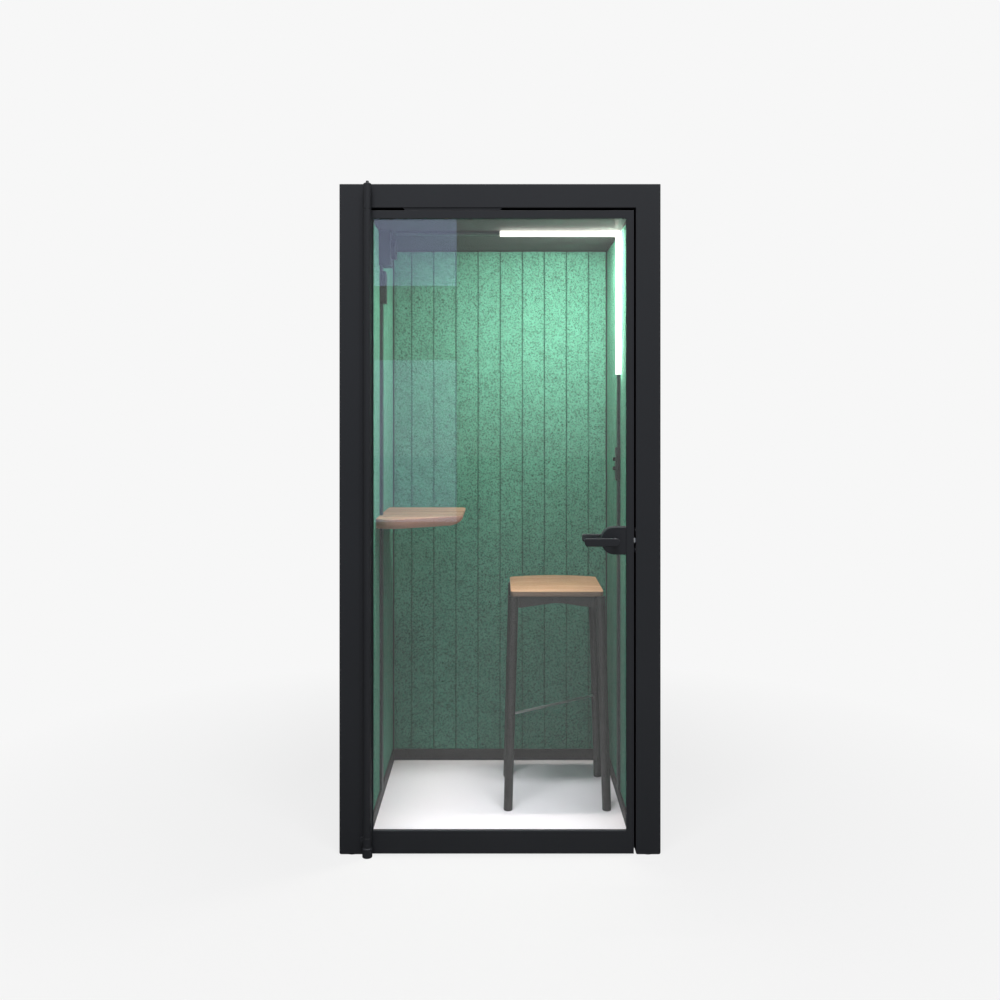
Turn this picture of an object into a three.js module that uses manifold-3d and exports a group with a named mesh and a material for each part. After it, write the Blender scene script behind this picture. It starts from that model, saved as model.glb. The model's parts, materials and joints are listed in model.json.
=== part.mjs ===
// A one-person acoustic office pod: felt-lined cabin, glazed door on a full-height hinge, rail-mounted
// lights, controls and fan, a wall table and a stool. Millimetres, +Z up, the door faces -Y.
import * as THREE from "three";
import { mergeVertices } from "three/addons/utils/BufferGeometryUtils.js";
import Module from "manifold-3d";

const wasm = await Module();
wasm.setup();

// Overall sizes
const POD_WIDTH = 1000;
const POD_DEPTH = 945;
const POD_HEIGHT = 2089;
const WALL_THICK = 80;
const ROOF_THICK = 79;
const FLOOR_TOP = 15.5;
const UNDER_GAP = 2; // walls and floor stand this far off the ground, on the feet
const SEAT = 0.3; // gap between pieces that touch
const PAST = 1; // how far a cutting or joining shape runs past the face it meets
const MERGE_WITHIN = 1e-3;
const ARC_STEPS = 6;
const ROUND_STEPS = 12; // half the sides of a round bar

// Outer panels and what they hold
const SKIN = 3;
const PANEL_EDGE = 2;
const CORE_LIFT = 40; // room over the bottom flange for the feet
const FELT_THICK = 24;
const PLANK_PITCH = 86.8;
const EDGE_PLANK = 73;
const GROOVE_WIDTH = 5;
const GROOVE_DEPTH = 6;
const CEILING_THICK = 6;
const SKIRTING_HEIGHT = 43;
const SKIRTING_THICK = 6;
const SKIRTING_CHAMFER = 3;
const FLOOR_EDGE = 1.5;

// Levelling feet
const FOOT_RADIUS = 22;
const FOOT_CHAMFER = 0.8;
const STEM_RADIUS = 5;
const STEM_LENGTH = 26;
const STEM_PLAY = 0.5;
const REAR_FOOT_INSET = 40;

// Front frame
const STILE_WIDTH = 77;
const HEADER_HEIGHT = 74.4;
const FRAME_EDGE = 2;
const STILE_CORNER = 6;

// Door leaf
const LEAF_THICK = 40;
const HINGE_GAP = 3;
const LOCK_GAP = 6.2;
const HEAD_GAP = 8;
const LEAF_LIFT = 4;
const HINGE_STILE = 26;
const LOCK_STILE = 24.3;
const TOP_RAIL = 25.5;
const BOTTOM_RAIL = 71.8;
const LEAF_EDGE = 1.5;
const GLASS_THICK = 12;
const GLASS_LIP = 6; // depth of the lip in front of the pane
const GLASS_BITE = 8; // how far the pane reaches behind the lip
const GLASS_PLAY = 0.5;

// Door seal and the bar over the door
const SEAL_GAP = 0.6;
const SEAL_DEPTH = 8;
const SEAL_WIDTH = 12;
const SEAL_BACK = 1.4;
const HEAD_BAR_LENGTH = 308;
const HEAD_BAR_INSET = 121;
const HEAD_BAR_HEIGHT = 6;
const HEAD_BAR_DEPTH = 26;
const HEAD_BAR_CHAMFER = 6;

// Full-height hinge in front of the leaf
const TUBE_RADIUS = 12.8;
const TUBE_BORE = 8;
const TUBE_OFFSET = 3.2; // air between the tube and the leaf
const HINGE_INSET = 9; // from the leaf's hinge edge to the axis
const HINGE_NECK = 9;
const PIN_PLAY = 0.15;
const PIN_LENGTH = 40;
const KNUCKLE_GAP = 0.6;
const KNUCKLE_DROP = 6.6; // the top knuckle reaches this far under the header
const KNUCKLE_TOP = 4; // and ends this far under the frame's top
const CAP_INSET = 0.4;
const CAP_EDGE = 1;
const CAP_HEIGHT = 5.5;
const FINIAL_HEIGHT = 10.5;
const FINIAL_RADIUS = 4.5;
const FINIAL_ROUND = 2;
const BOTTOM_KNUCKLE = 61;
const HINGE_FOOT_RADIUS = 15.6;
const HINGE_FOOT_HEIGHT = 28;
const HINGE_FOOT_ROUND = 3;
const LUG_REACH = 23; // from the axis, over the front of the left stile
const LUG_THICK = 8;
const LUG_LOW = 34;
const LUG_TOP = 2;

// Lock and levers
const LOCK_HEIGHT = 978;
const BACKSET = 35.5; // from the lock stile to the spindle
const PLATE_RADIUS = 42.7;
const PLATE_PROUD = 3;
const PLATE_EDGE = 2;
const CASE_RADIUS = 28;
const SPINDLE = 8;
const SPINDLE_BORE = 8;
const LEVER_LENGTH = 96;
const LEVER_TAIL = 12.5;
const LEVER_HEIGHT = 25;
const LEVER_THICK = 12;
const LEVER_EDGE = 2.5;
const LEVER_TIP = 10;
const LEVER_NECK = 32;
const NECK_RADIUS = 10;
const NECK_GAP = 0.5;
const SPINDLE_BITE = 20; // how far the spindle enters the inner lever
const BOLT_THICK = 8;
const BOLT_HEIGHT = 14;
const BOLT_PLAY = 0.5;
const BOLT_THROW = 12.2;
const BOLT_TAIL = 14.5; // bolt left inside the lock case
const BOLT_BEVEL = 7;
const BOLT_TIP = 2;
const STRIKE_THICK = 2.5;
const STRIKE_WIDTH = 28;
const STRIKE_HEIGHT = 80;
const STRIKE_CORNER = 5;
const STRIKE_PLAY = 1.2;
const POCKET_DEPTH = 3; // past the tip of the bolt

// Accessory rail and what clips on it
const RAIL_WIDTH = 40;
const RAIL_PROUD = 9;
const RAIL_FROM_BACK = 441; // centre line, in front of the back felt
const RAIL_EDGE = 1.5;
const RAIL_GROOVE = 12;
const RAIL_GROOVE_DEPTH = 2;
const CLIP_PLAY = 0.3;
const LIGHT_SIDE = 2.7;
const LIGHT_FACE = 3.2;
const LIGHT_ROUND = 2.5;
const CEILING_LIGHT_START = 0; // across the pod, from its middle to the right corner
const WALL_LIGHT_LENGTH = 498.7;
const CONTROL_MIDDLE = 1197.5;
const CONTROL_HEIGHT = 115;
const CONTROL_WIDTH = 50;
const CONTROL_PROUD = 15;
const BOX_ROUND = 5;
const BOX_EDGE = 1.5;
const KNOB_RADIUS = 6.5;
const KNOB_TAPER = 0.8;
const KNOB_REACH = 9.5;
const KNOB_CHAMFER = 0.8;
const KNOB_SPACING = 32;
const KNOB_POINTER = 1.2;
const DRIVER_HEIGHT = 111;
const DRIVER_DROP = 18.7; // below the fan unit
const DRIVER_WIDTH = 50;
const DRIVER_PROUD = 22;
const DRIVER_RIB = 4;
const DRIVER_RIB_DEPTH = 2;

// Ventilation unit in the top left corner
const FAN_HEIGHT = 121;
const FAN_WIDTH = 96;
const FAN_PROUD = 40;
const COLLAR_RADIUS = 36;
const COLLAR_REACH = 16;
const DUCT_RADIUS = 32;
const MOTOR_RADIUS = 13;
const MOTOR_LOW = 8;
const MOTOR_LENGTH = 12;
const MOTOR_ARM = 5;
const MOTOR_ARMS = 3;
const AXLE_RADIUS = 2.5;
const AXLE_PLAY = 0.1;
const AXLE_REACH = 14;
const HUB_RADIUS = 13;
const HUB_LENGTH = 20;
const ROTOR_GAP = 1.2;
const TIP_GAP = 1.5;
const BLADES = 7;
const BLADE_THICK = 1.8;
const BLADE_SWEEP = 0.35; // radians from root to tip
const BLADE_WIND = 1.2; // radians along the hub
const BLADE_SLICES = 6;
const GUARD_BAR = 2;
const GUARD_THICK = 2.5;
const GUARD_RIM = 3;
const GUARD_RINGS = 3;
const GUARD_SPOKES = 4;
const GUARD_INSET = 1;
const VENT_SLOT = 5;
const VENT_PITCH = 10;

// Table on the left wall
const TABLE_TOP = 1018;
const TABLE_THICK = 34;
const TABLE_REACH = 291;
const TABLE_BEHIND = 299; // behind the rail's centre line
const TABLE_AHEAD = 168; // in front of it, at the nose
const TABLE_NOSE = 52; // the nose, out from the wall
const TABLE_WALL_AHEAD = 131;
const TABLE_END_AHEAD = 21;
const TABLE_CORNER = 26;
const TABLE_NOSE_ROUND = 45;
const TABLE_UNDERCUT = 40; // at the free end
const TABLE_SLOPE = 14; // undercut of the front edges
const TABLE_EDGE = 1.5;
const BRACKET_SHEET = 6;
const BRACKET_WIDTH = 36;
const BRACKET_REACH = 170;
const BRACKET_LIP = 12;

// Stool inside the cabin
const STOOL_FROM_WALL = 223.5; // its middle, from the right felt
const STOOL_FROM_BACK = 358; // and from the back felt
const STOOL_HEIGHT = 764;
const SEAT_WIDTH = 320;
const SEAT_THICK = 19;
const SEAT_CROWN = 6;
const SEAT_FALL = 2;
const SEAT_FALL_POWER = 6;
const SEAT_UNDERCUT = 5;
const SEAT_CORNER_POWER = 24;
const SEAT_GRID = 14;
const LEG_FOOT_SPREAD = 338;
const LEG_TOP_SPREAD = 298;
const LEG_FOOT_RADIUS = 15;
const LEG_SIDES = 20;
const LEG_TOP_RADIUS = 16.5;
const APRON_HEIGHT = 40;
const APRON_MIDDLE = 22;
const APRON_THICK = 26;
const APRON_PEAK = 30;
const BRACE_RADIUS = 4;
const BRACE_HEIGHT = 332; // at its middle
const BRACE_FALL = 18; // lower at the rear leg
const BRACE_PLAY = 0.5;

// Places that follow from the sizes
const HALF_WIDTH = POD_WIDTH / 2;
const CABIN_HALF = HALF_WIDTH - WALL_THICK;
const BACK_FACE = POD_DEPTH - WALL_THICK;
const RAIL_DEPTH = BACK_FACE - RAIL_FROM_BACK;
const CEILING = POD_HEIGHT - ROOF_THICK;
const WALL_TOP = CEILING - SEAT;
const FRAME_DEPTH = LEAF_THICK + SEAL_GAP + SEAL_DEPTH + SEAL_BACK;
const WALL_FRONT = FRAME_DEPTH + SEAT;
const JAMB = HALF_WIDTH - STILE_WIDTH;
const HEADER_LOW = POD_HEIGHT - HEADER_HEIGHT;
const LEAF_LEFT = -JAMB + HINGE_GAP;
const LEAF_RIGHT = JAMB - LOCK_GAP;
const LEAF_TOP = HEADER_LOW - HEAD_GAP;
const GLASS_LEFT = LEAF_LEFT + HINGE_STILE;
const GLASS_RIGHT = LEAF_RIGHT - LOCK_STILE;
const GLASS_LOW = LEAF_LIFT + BOTTOM_RAIL;
const GLASS_HIGH = LEAF_TOP - TOP_RAIL;
const GLASS_FRONT = GLASS_LIP + SEAT;
const GLASS_BACK = GLASS_FRONT + GLASS_THICK;
const HINGE_X = LEAF_LEFT + HINGE_INSET;
const HINGE_OUT = TUBE_RADIUS + TUBE_OFFSET;
const KNUCKLE_LOW = HEADER_LOW - KNUCKLE_DROP;
const PIN_RADIUS = TUBE_BORE - PIN_PLAY;
const SPINDLE_X = GLASS_RIGHT - BACKSET;
const LEVER_REACH = PLATE_PROUD + LEVER_NECK + LEVER_THICK;
const FAN_LOW = CEILING - SEAT - FAN_HEIGHT;
const FAN_CENTRE = FAN_LOW + FAN_HEIGHT / 2;
const DRIVER_HIGH = FAN_LOW - DRIVER_DROP;
const DRIVER_LOW = DRIVER_HIGH - DRIVER_HEIGHT;
const RAIL_LOW = FLOOR_TOP + SEAT + SKIRTING_HEIGHT + SEAT;
const LIGHT_PROUD = RAIL_PROUD + CLIP_PLAY + LIGHT_FACE;
const CENTRE_DEPTH = (POD_DEPTH - LEVER_REACH) / 2; // the middle of the whole, levers included

// Finishes: colour, roughness, metalness
const FINISH = {
  powder: [0x313336, 0.55, 0.3],
  felt: [0x5f9a80, 0.95, 0],
  core: [0x9a9c98, 1, 0],
  ceiling: [0x55595a, 0.9, 0],
  laminate: [0xf1f1ee, 0.45, 0],
  glass: [0xd5e6e2, 0.05, 0],
  rubber: [0x17181a, 0.85, 0],
  steel: [0x9ea1a4, 0.35, 1],
  plastic: [0x2c2d30, 0.6, 0],
  rail: [0x55575b, 0.45, 0.8],
  opal: [0xfff6e6, 0.4, 0],
  oak: [0xc9a987, 0.55, 0],
  stool: [0x3a3a3c, 0.6, 0.2],
};

const ACROSS = new THREE.Vector3(1, 0, 0);
const DEEP = new THREE.Vector3(0, 1, 0);
const UP = new THREE.Vector3(0, 0, 1);

// How a drawn profile lies for a length along each axis: its two directions, then its length
const LAY = {
  x: [DEEP, UP, ACROSS],
  y: [ACROSS, UP, DEEP.clone().negate()],
  z: [ACROSS, DEEP, UP],
};

// A named piece with a material of its own
function piece(name, geometry, finish) {
  const [color, roughness, metalness] = FINISH[finish];
  const material = new THREE.MeshStandardMaterial({ color, roughness, metalness });
  const mesh = new THREE.Mesh(geometry, material);
  mesh.name = name;
  return mesh;
}

// A closed outline through corners [across, up, rounding]
function outline(corners) {
  const shape = new THREE.Shape();
  corners.forEach(([x, y, round = 0], i) => {
    const before = corners.at(i - 1);
    const after = corners[(i + 1) % corners.length];
    const towards = ([px, py]) => {
      const share = round / Math.hypot(px - x, py - y);
      return [x + (px - x) * share, y + (py - y) * share];
    };
    const start = towards(before);
    if (i === 0) shape.moveTo(...start);
    else shape.lineTo(...start);
    if (round) shape.quadraticCurveTo(x, y, ...towards(after));
  });
  shape.closePath();
  return shape;
}

function rectangle([x0, x1], [y0, y1], round = 0) {
  return outline([
    [x0, y0, round],
    [x1, y0, round],
    [x1, y1, round],
    [x0, y1, round],
  ]);
}

function circle(radius, x = 0, y = 0) {
  return new THREE.Shape().absarc(x, y, radius, 0, 2 * Math.PI, false);
}

// A profile extruded along an axis from low to high, with its end edges eased by bevel
function prism(shape, axis, [low, high], bevel = 0, steps = ARC_STEPS, slices = 1) {
  const geometry = new THREE.ExtrudeGeometry(shape, {
    depth: high - low - 2 * bevel,
    curveSegments: steps,
    steps: slices,
    bevelEnabled: bevel > 0,
    bevelThickness: bevel,
    bevelSize: bevel,
    bevelOffset: -bevel,
    bevelSegments: 2,
  });
  const [across, up, along] = LAY[axis];
  const start = axis === "y" ? -high : low;
  geometry.translate(0, 0, bevel + start);
  return geometry.applyMatrix4(new THREE.Matrix4().makeBasis(across, up, along));
}

function block([x0, x1], [y0, y1], [z0, z1]) {
  const geometry = new THREE.BoxGeometry(x1 - x0, y1 - y0, z1 - z0);
  return geometry.translate((x0 + x1) / 2, (y0 + y1) / 2, (z0 + z1) / 2);
}

function bar(radius, axis, span, a = 0, b = 0) {
  return prism(circle(radius, a, b), axis, span, 0, ROUND_STEPS);
}

// A profile of [radius, height] turned about the vertical axis
function turned(profile, sides = 2 * ROUND_STEPS) {
  const points = profile.map(([radius, height]) => new THREE.Vector2(radius, height));
  return new THREE.LatheGeometry(points, sides).rotateX(Math.PI / 2);
}

function toSolid(geometry) {
  const bare = geometry.clone();
  bare.deleteAttribute("normal");
  bare.deleteAttribute("uv");
  const merged = mergeVertices(bare, MERGE_WITHIN);
  const vertProperties = new Float32Array(merged.getAttribute("position").array);
  const triVerts = new Uint32Array(merged.index.array);
  return new wasm.Manifold(new wasm.Mesh({ numProp: 3, vertProperties, triVerts }));
}

function toGeometry(solid) {
  const { vertProperties, triVerts } = solid.getMesh();
  const geometry = new THREE.BufferGeometry();
  geometry.setAttribute("position", new THREE.BufferAttribute(vertProperties, 3));
  geometry.setIndex(new THREE.BufferAttribute(triVerts, 1));
  geometry.computeVertexNormals();
  return geometry;
}

function join(...parts) {
  return toGeometry(parts.map(toSolid).reduce((whole, part) => whole.add(part)));
}

function cut(body, ...tools) {
  return toGeometry(tools.map(toSolid).reduce((whole, tool) => whole.subtract(tool), toSolid(body)));
}

const either = (side, low, high) => (side < 0 ? [-high, -low] : [low, high]);
const inset = ([low, high], by) => [low + by, high - by];
const spanAbout = (size, play, middle) => [middle - size / 2 - play, middle + size / 2 + play];

// Front frame: two stiles with the foot holes, the header between them, and the bar over the door
function stile(side) {
  const name = side < 0 ? "front_stile_left" : "front_stile_right";
  const [x0, x1] = either(side, JAMB, HALF_WIDTH);
  const face = outline([
    [x0, UNDER_GAP, STILE_CORNER],
    [x1, UNDER_GAP, STILE_CORNER],
    [x1, POD_HEIGHT],
    [x0, POD_HEIGHT],
  ]);
  const hole = [UNDER_GAP - PAST, UNDER_GAP + STEM_LENGTH + STEM_PLAY];
  const footHole = bar(STEM_RADIUS + STEM_PLAY, "z", hole, (x0 + x1) / 2, FRAME_DEPTH / 2);
  const body = cut(prism(face, "y", [0, FRAME_DEPTH], FRAME_EDGE), footHole);
  return piece(name, side < 0 ? body : cut(body, ...strikeRecess()), "powder");
}

function header() {
  const face = rectangle(inset([-JAMB, JAMB], SEAT), [HEADER_LOW, POD_HEIGHT]);
  return piece("front_header", prism(face, "y", [0, FRAME_DEPTH], FRAME_EDGE), "powder");
}

function headBar() {
  const left = -JAMB + HEAD_BAR_INSET;
  const right = left + HEAD_BAR_LENGTH;
  const top = HEADER_LOW - SEAT;
  const low = top - HEAD_BAR_HEIGHT;
  const face = outline([
    [left + HEAD_BAR_CHAMFER, low],
    [right - HEAD_BAR_CHAMFER, low],
    [right, top],
    [left, top],
  ]);
  return piece("head_bar", prism(face, "y", [FRAME_EDGE, FRAME_EDGE + HEAD_BAR_DEPTH]), "powder");
}

// The seal runs round the opening behind the leaf in one length
function doorSeal() {
  const outer = JAMB - SEAT;
  const inner = outer - SEAL_WIDTH;
  const top = HEADER_LOW - SEAT;
  const low = FLOOR_TOP + SEAT;
  const face = outline([
    [-outer, low],
    [-inner, low],
    [-inner, top - SEAL_WIDTH],
    [inner, top - SEAL_WIDTH],
    [inner, low],
    [outer, low],
    [outer, top],
    [-outer, top],
  ]);
  const front = LEAF_THICK + SEAL_GAP;
  return piece("door_seal", prism(face, "y", [front, front + SEAL_DEPTH]), "rubber");
}

// Outer panels: shallow trays, open to the cabin, that hold the core and the felt
function sideWall(side) {
  const ends = [WALL_FRONT, POD_DEPTH];
  const rise = [UNDER_GAP, WALL_TOP];
  const shell = prism(rectangle(ends, rise), "x", either(side, CABIN_HALF, HALF_WIDTH), PANEL_EDGE);
  const hollow = either(side, CABIN_HALF - SKIN, HALF_WIDTH - SKIN);
  const inside = block(hollow, inset(ends, SKIN), inset(rise, SKIN));
  const footX = side * (CABIN_HALF + FELT_THICK + (WALL_THICK - FELT_THICK) / 2);
  const flange = [UNDER_GAP - SKIN, UNDER_GAP + 2 * SKIN];
  const footHole = bar(STEM_RADIUS + STEM_PLAY, "z", flange, footX, POD_DEPTH - REAR_FOOT_INSET);
  return cut(shell, inside, footHole);
}

function wallFelt(side) {
  const ends = inset([WALL_FRONT, POD_DEPTH], SKIN + SEAT);
  const grooves = [];
  for (let at = BACK_FACE - EDGE_PLANK; at > ends[0] + GROOVE_WIDTH; at -= PLANK_PITCH) grooves.push(at);
  const section = outline(grooved(ends, grooves.reverse()).map(([y, x]) => [side * (CABIN_HALF + x), y]));
  return prism(section, "z", inset([UNDER_GAP, WALL_TOP], SKIN + SEAT));
}

// Corners [along, into the felt] of a felt panel's plan, with a V groove at each place
function grooved([low, high], places) {
  const face = places.flatMap((at) => [
    [at - GROOVE_WIDTH / 2, 0],
    [at, GROOVE_DEPTH],
    [at + GROOVE_WIDTH / 2, 0],
  ]);
  return [[low, 0], ...face, [high, 0], [high, FELT_THICK], [low, FELT_THICK]];
}

function wallCore(side) {
  const across = either(side, CABIN_HALF + FELT_THICK + SEAT, HALF_WIDTH - SKIN - SEAT);
  const deep = inset([WALL_FRONT, POD_DEPTH], SKIN + SEAT);
  return block(across, deep, [UNDER_GAP + CORE_LIFT, WALL_TOP - SKIN - SEAT]);
}

// The air passage behind the fan, through felt and core, ends at slots in the left outer panel
function duct() {
  return bar(DUCT_RADIUS, "x", [-HALF_WIDTH + SKIN, -CABIN_HALF + SEAT], RAIL_DEPTH, FAN_CENTRE);
}

function ventSlots() {
  const rows = Math.floor((DUCT_RADIUS - VENT_SLOT) / VENT_PITCH);
  return Array.from({ length: 2 * rows + 1 }, (_, i) => {
    const up = (i - rows) * VENT_PITCH;
    const half = Math.sqrt(DUCT_RADIUS ** 2 - (Math.abs(up) + VENT_SLOT / 2) ** 2);
    const centre = FAN_CENTRE + up;
    const slot = rectangle(
      [RAIL_DEPTH - half, RAIL_DEPTH + half],
      [centre - VENT_SLOT / 2, centre + VENT_SLOT / 2],
      VENT_SLOT / 2,
    );
    return prism(slot, "x", [-HALF_WIDTH - PAST, -HALF_WIDTH + 2 * SKIN]);
  });
}

function backWall() {
  const across = inset([-CABIN_HALF, CABIN_HALF], SEAT);
  const rise = [UNDER_GAP, WALL_TOP];
  const shell = prism(rectangle(across, rise), "y", [BACK_FACE, POD_DEPTH], PANEL_EDGE);
  const inside = block(inset(across, SKIN), [BACK_FACE - SKIN, POD_DEPTH - SKIN], inset(rise, SKIN));
  const room = inset(across, SKIN + SEAT);
  const count = 2 * Math.floor((room[1] - GROOVE_WIDTH) / PLANK_PITCH) + 1;
  const places = Array.from({ length: count }, (_, i) => (i - (count - 1) / 2) * PLANK_PITCH);
  const section = outline(grooved(room, places).map(([x, y]) => [x, BACK_FACE + y]));
  const felt = prism(section, "z", inset(rise, SKIN + SEAT));
  const deep = [BACK_FACE + FELT_THICK + SEAT, POD_DEPTH - SKIN - SEAT];
  const core = block(room, deep, [UNDER_GAP + CORE_LIFT, WALL_TOP - SKIN - SEAT]);
  return [
    piece("back_wall_panel", cut(shell, inside), "powder"),
    piece("back_wall_core", core, "core"),
    piece("felt_back", felt, "felt"),
  ];
}

function roof() {
  const across = [-HALF_WIDTH, HALF_WIDTH];
  const deep = [WALL_FRONT, POD_DEPTH];
  const shell = prism(rectangle(across, deep), "z", [CEILING, POD_HEIGHT], PANEL_EDGE);
  const inside = block(inset(across, SKIN), inset(deep, SKIN), [CEILING - SKIN, POD_HEIGHT - SKIN]);
  const room = [inset(across, SKIN + SEAT), inset(deep, SKIN + SEAT)];
  const under = CEILING + CEILING_THICK;
  return [
    piece("roof_panel", cut(shell, inside), "powder"),
    piece("roof_core", block(...room, [under + SEAT, POD_HEIGHT - SKIN - SEAT]), "core"),
    piece("ceiling_panel", block(...room, [CEILING, under]), "ceiling"),
  ];
}

function floorPanel() {
  const across = inset([-CABIN_HALF, CABIN_HALF], SEAT);
  const deep = [WALL_FRONT, BACK_FACE - SEAT];
  const board = prism(rectangle(across, deep), "z", [UNDER_GAP, FLOOR_TOP], FLOOR_EDGE);
  return piece("floor_panel", board, "laminate");
}

// Skirting boards stand on the floor against the felt, with their top edges chamfered
function skirtingSection() {
  const low = FLOOR_TOP + SEAT;
  const high = low + SKIRTING_HEIGHT;
  return [
    [SEAT, low],
    [SEAT + SKIRTING_THICK, low],
    [SEAT + SKIRTING_THICK, high - SKIRTING_CHAMFER],
    [SEAT + SKIRTING_THICK - SKIRTING_CHAMFER, high],
    [SEAT, high],
  ];
}

function skirtings() {
  const out = SEAT + SKIRTING_THICK;
  const section = skirtingSection();
  const backSection = outline(section.map(([y, z]) => [BACK_FACE - y, z]));
  const across = inset([-CABIN_HALF, CABIN_HALF], out + SEAT);
  const boards = [piece("skirting_back", prism(backSection, "x", across), "powder")];
  for (const side of [-1, 1]) {
    const sideSection = outline(section.map(([x, z]) => [side * (CABIN_HALF - x), z]));
    const name = side < 0 ? "skirting_left" : "skirting_right";
    boards.push(piece(name, prism(sideSection, "y", [WALL_FRONT, BACK_FACE - SEAT]), "powder"));
  }
  return boards;
}

// Levelling feet: front ones under the stiles, rear ones under the side walls
function feet() {
  const top = UNDER_GAP - SEAT;
  const profile = [
    [0, 0],
    [FOOT_RADIUS - FOOT_CHAMFER, 0],
    [FOOT_RADIUS, FOOT_CHAMFER],
    [FOOT_RADIUS, top - SEAT],
    [STEM_RADIUS, top],
    [STEM_RADIUS, UNDER_GAP + STEM_LENGTH],
    [0, UNDER_GAP + STEM_LENGTH],
  ];
  const places = {
    front: [HALF_WIDTH - STILE_WIDTH / 2, FRAME_DEPTH / 2],
    rear: [CABIN_HALF + FELT_THICK + (WALL_THICK - FELT_THICK) / 2, POD_DEPTH - REAR_FOOT_INSET],
  };
  return Object.entries(places).flatMap(([end, [x, y]]) =>
    [-1, 1].map((side) => {
      const name = `foot_${end}_${side < 0 ? "left" : "right"}`;
      const foot = piece(name, turned(profile), "rubber");
      foot.position.set(side * x, y, 0);
      return foot;
    }),
  );
}

// Hinge: a round tube on the leaf turns on pins of the two pivots. Drawn about the hinge axis.
function hingeSection(bore) {
  const half = HINGE_NECK / 2;
  const spread = Math.asin(half / TUBE_RADIUS);
  const shape = new THREE.Shape();
  shape.absarc(0, 0, TUBE_RADIUS, Math.PI / 2 + spread, 2.5 * Math.PI - spread, false);
  shape.lineTo(half, HINGE_OUT - SEAT);
  shape.lineTo(-half, HINGE_OUT - SEAT);
  shape.closePath();
  if (bore) shape.holes.push(circle(TUBE_BORE));
  return shape;
}

function hingeAxisGroup() {
  const group = new THREE.Group();
  group.position.set(HINGE_X, -HINGE_OUT, 0);
  return group;
}

function pivots() {
  const topEnd = POD_HEIGHT - KNUCKLE_TOP;
  const knuckle = prism(hingeSection(false), "z", [KNUCKLE_LOW, topEnd], 0, ROUND_STEPS);
  const pinDown = bar(PIN_RADIUS, "z", [KNUCKLE_LOW - PIN_LENGTH, KNUCKLE_LOW + PAST]);
  const finial = turned([
    [0, topEnd - PAST],
    [TUBE_RADIUS - CAP_INSET, topEnd - PAST],
    [TUBE_RADIUS - CAP_INSET, topEnd + CAP_EDGE],
    [FINIAL_RADIUS, topEnd + CAP_HEIGHT],
    [FINIAL_RADIUS, topEnd + FINIAL_HEIGHT - FINIAL_ROUND],
    [FINIAL_RADIUS - FINIAL_ROUND, topEnd + FINIAL_HEIGHT],
    [0, topEnd + FINIAL_HEIGHT],
  ], ROUND_STEPS);
  const post = turned([
    [0, 0],
    [HINGE_FOOT_RADIUS - HINGE_FOOT_ROUND, 0],
    [HINGE_FOOT_RADIUS, HINGE_FOOT_ROUND],
    [HINGE_FOOT_RADIUS, HINGE_FOOT_HEIGHT],
    [TUBE_RADIUS, HINGE_FOOT_HEIGHT + (HINGE_FOOT_RADIUS - TUBE_RADIUS)],
    [TUBE_RADIUS, BOTTOM_KNUCKLE],
    [PIN_RADIUS, BOTTOM_KNUCKLE],
    [PIN_RADIUS, BOTTOM_KNUCKLE + PIN_LENGTH],
    [0, BOTTOM_KNUCKLE + PIN_LENGTH],
  ]);
  const lugBack = HINGE_OUT - SEAT;
  const lug = block([-LUG_REACH, 0], [lugBack - LUG_THICK, lugBack], [LUG_LOW, BOTTOM_KNUCKLE - LUG_TOP]);
  const group = hingeAxisGroup();
  group.add(piece("hinge_pivot_top", join(knuckle, pinDown, finial), "powder"));
  group.add(piece("hinge_pivot_bottom", join(post, lug), "powder"));
  return group;
}

function hingeTube() {
  const span = [BOTTOM_KNUCKLE + KNUCKLE_GAP, KNUCKLE_LOW - KNUCKLE_GAP];
  const group = hingeAxisGroup();
  group.add(piece("hinge_tube", prism(hingeSection(true), "z", span, 0, ROUND_STEPS), "powder"));
  return group;
}

// Door leaf: four bars round the pane, each with a lip in front and a rebate open to the back
function leafSection(outer, inner) {
  const towards = Math.sign(inner - outer);
  const floor = inner - towards * (GLASS_BITE + GLASS_PLAY);
  return [
    [outer, 0, LEAF_EDGE],
    [inner, 0, LEAF_EDGE],
    [inner, GLASS_LIP],
    [floor, GLASS_LIP],
    [floor, LEAF_THICK, LEAF_EDGE],
    [outer, LEAF_THICK, LEAF_EDGE],
  ];
}

function leafBars() {
  const rise = [LEAF_LIFT, LEAF_TOP];
  const between = inset([GLASS_LEFT, GLASS_RIGHT], SEAT);
  const rail = (outer, inner) => outline(leafSection(outer, inner).map(([z, y, round]) => [y, z, round]));
  const lockStile = prism(outline(leafSection(LEAF_RIGHT, GLASS_RIGHT)), "z", rise);
  const hingeStile = prism(outline(leafSection(LEAF_LEFT, GLASS_LEFT)), "z", rise);
  return [
    piece("door_stile_hinge", hingeStile, "powder"),
    piece("door_stile_lock", cut(lockStile, boltWay(BOLT_PLAY, LEAF_RIGHT + PAST)), "powder"),
    piece("door_rail_top", prism(rail(LEAF_TOP, GLASS_HIGH), "x", between), "powder"),
    piece("door_rail_bottom", prism(rail(LEAF_LIFT, GLASS_LOW), "x", between), "powder"),
  ];
}

// The pane, notched at its lock edge for the lock case
function doorGlass() {
  const right = GLASS_RIGHT + GLASS_BITE;
  const pane = rectangle([GLASS_LEFT - GLASS_BITE, right], [GLASS_LOW - GLASS_BITE, GLASS_HIGH + GLASS_BITE]);
  const sheet = prism(pane, "y", [GLASS_FRONT, GLASS_BACK]);
  const through = [GLASS_FRONT - PAST, GLASS_BACK + PAST];
  const notch = prism(lockOutline(CASE_RADIUS + SEAT, right + PAST), "y", through);
  return piece("door_glass", cut(sheet, notch), "glass");
}

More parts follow.
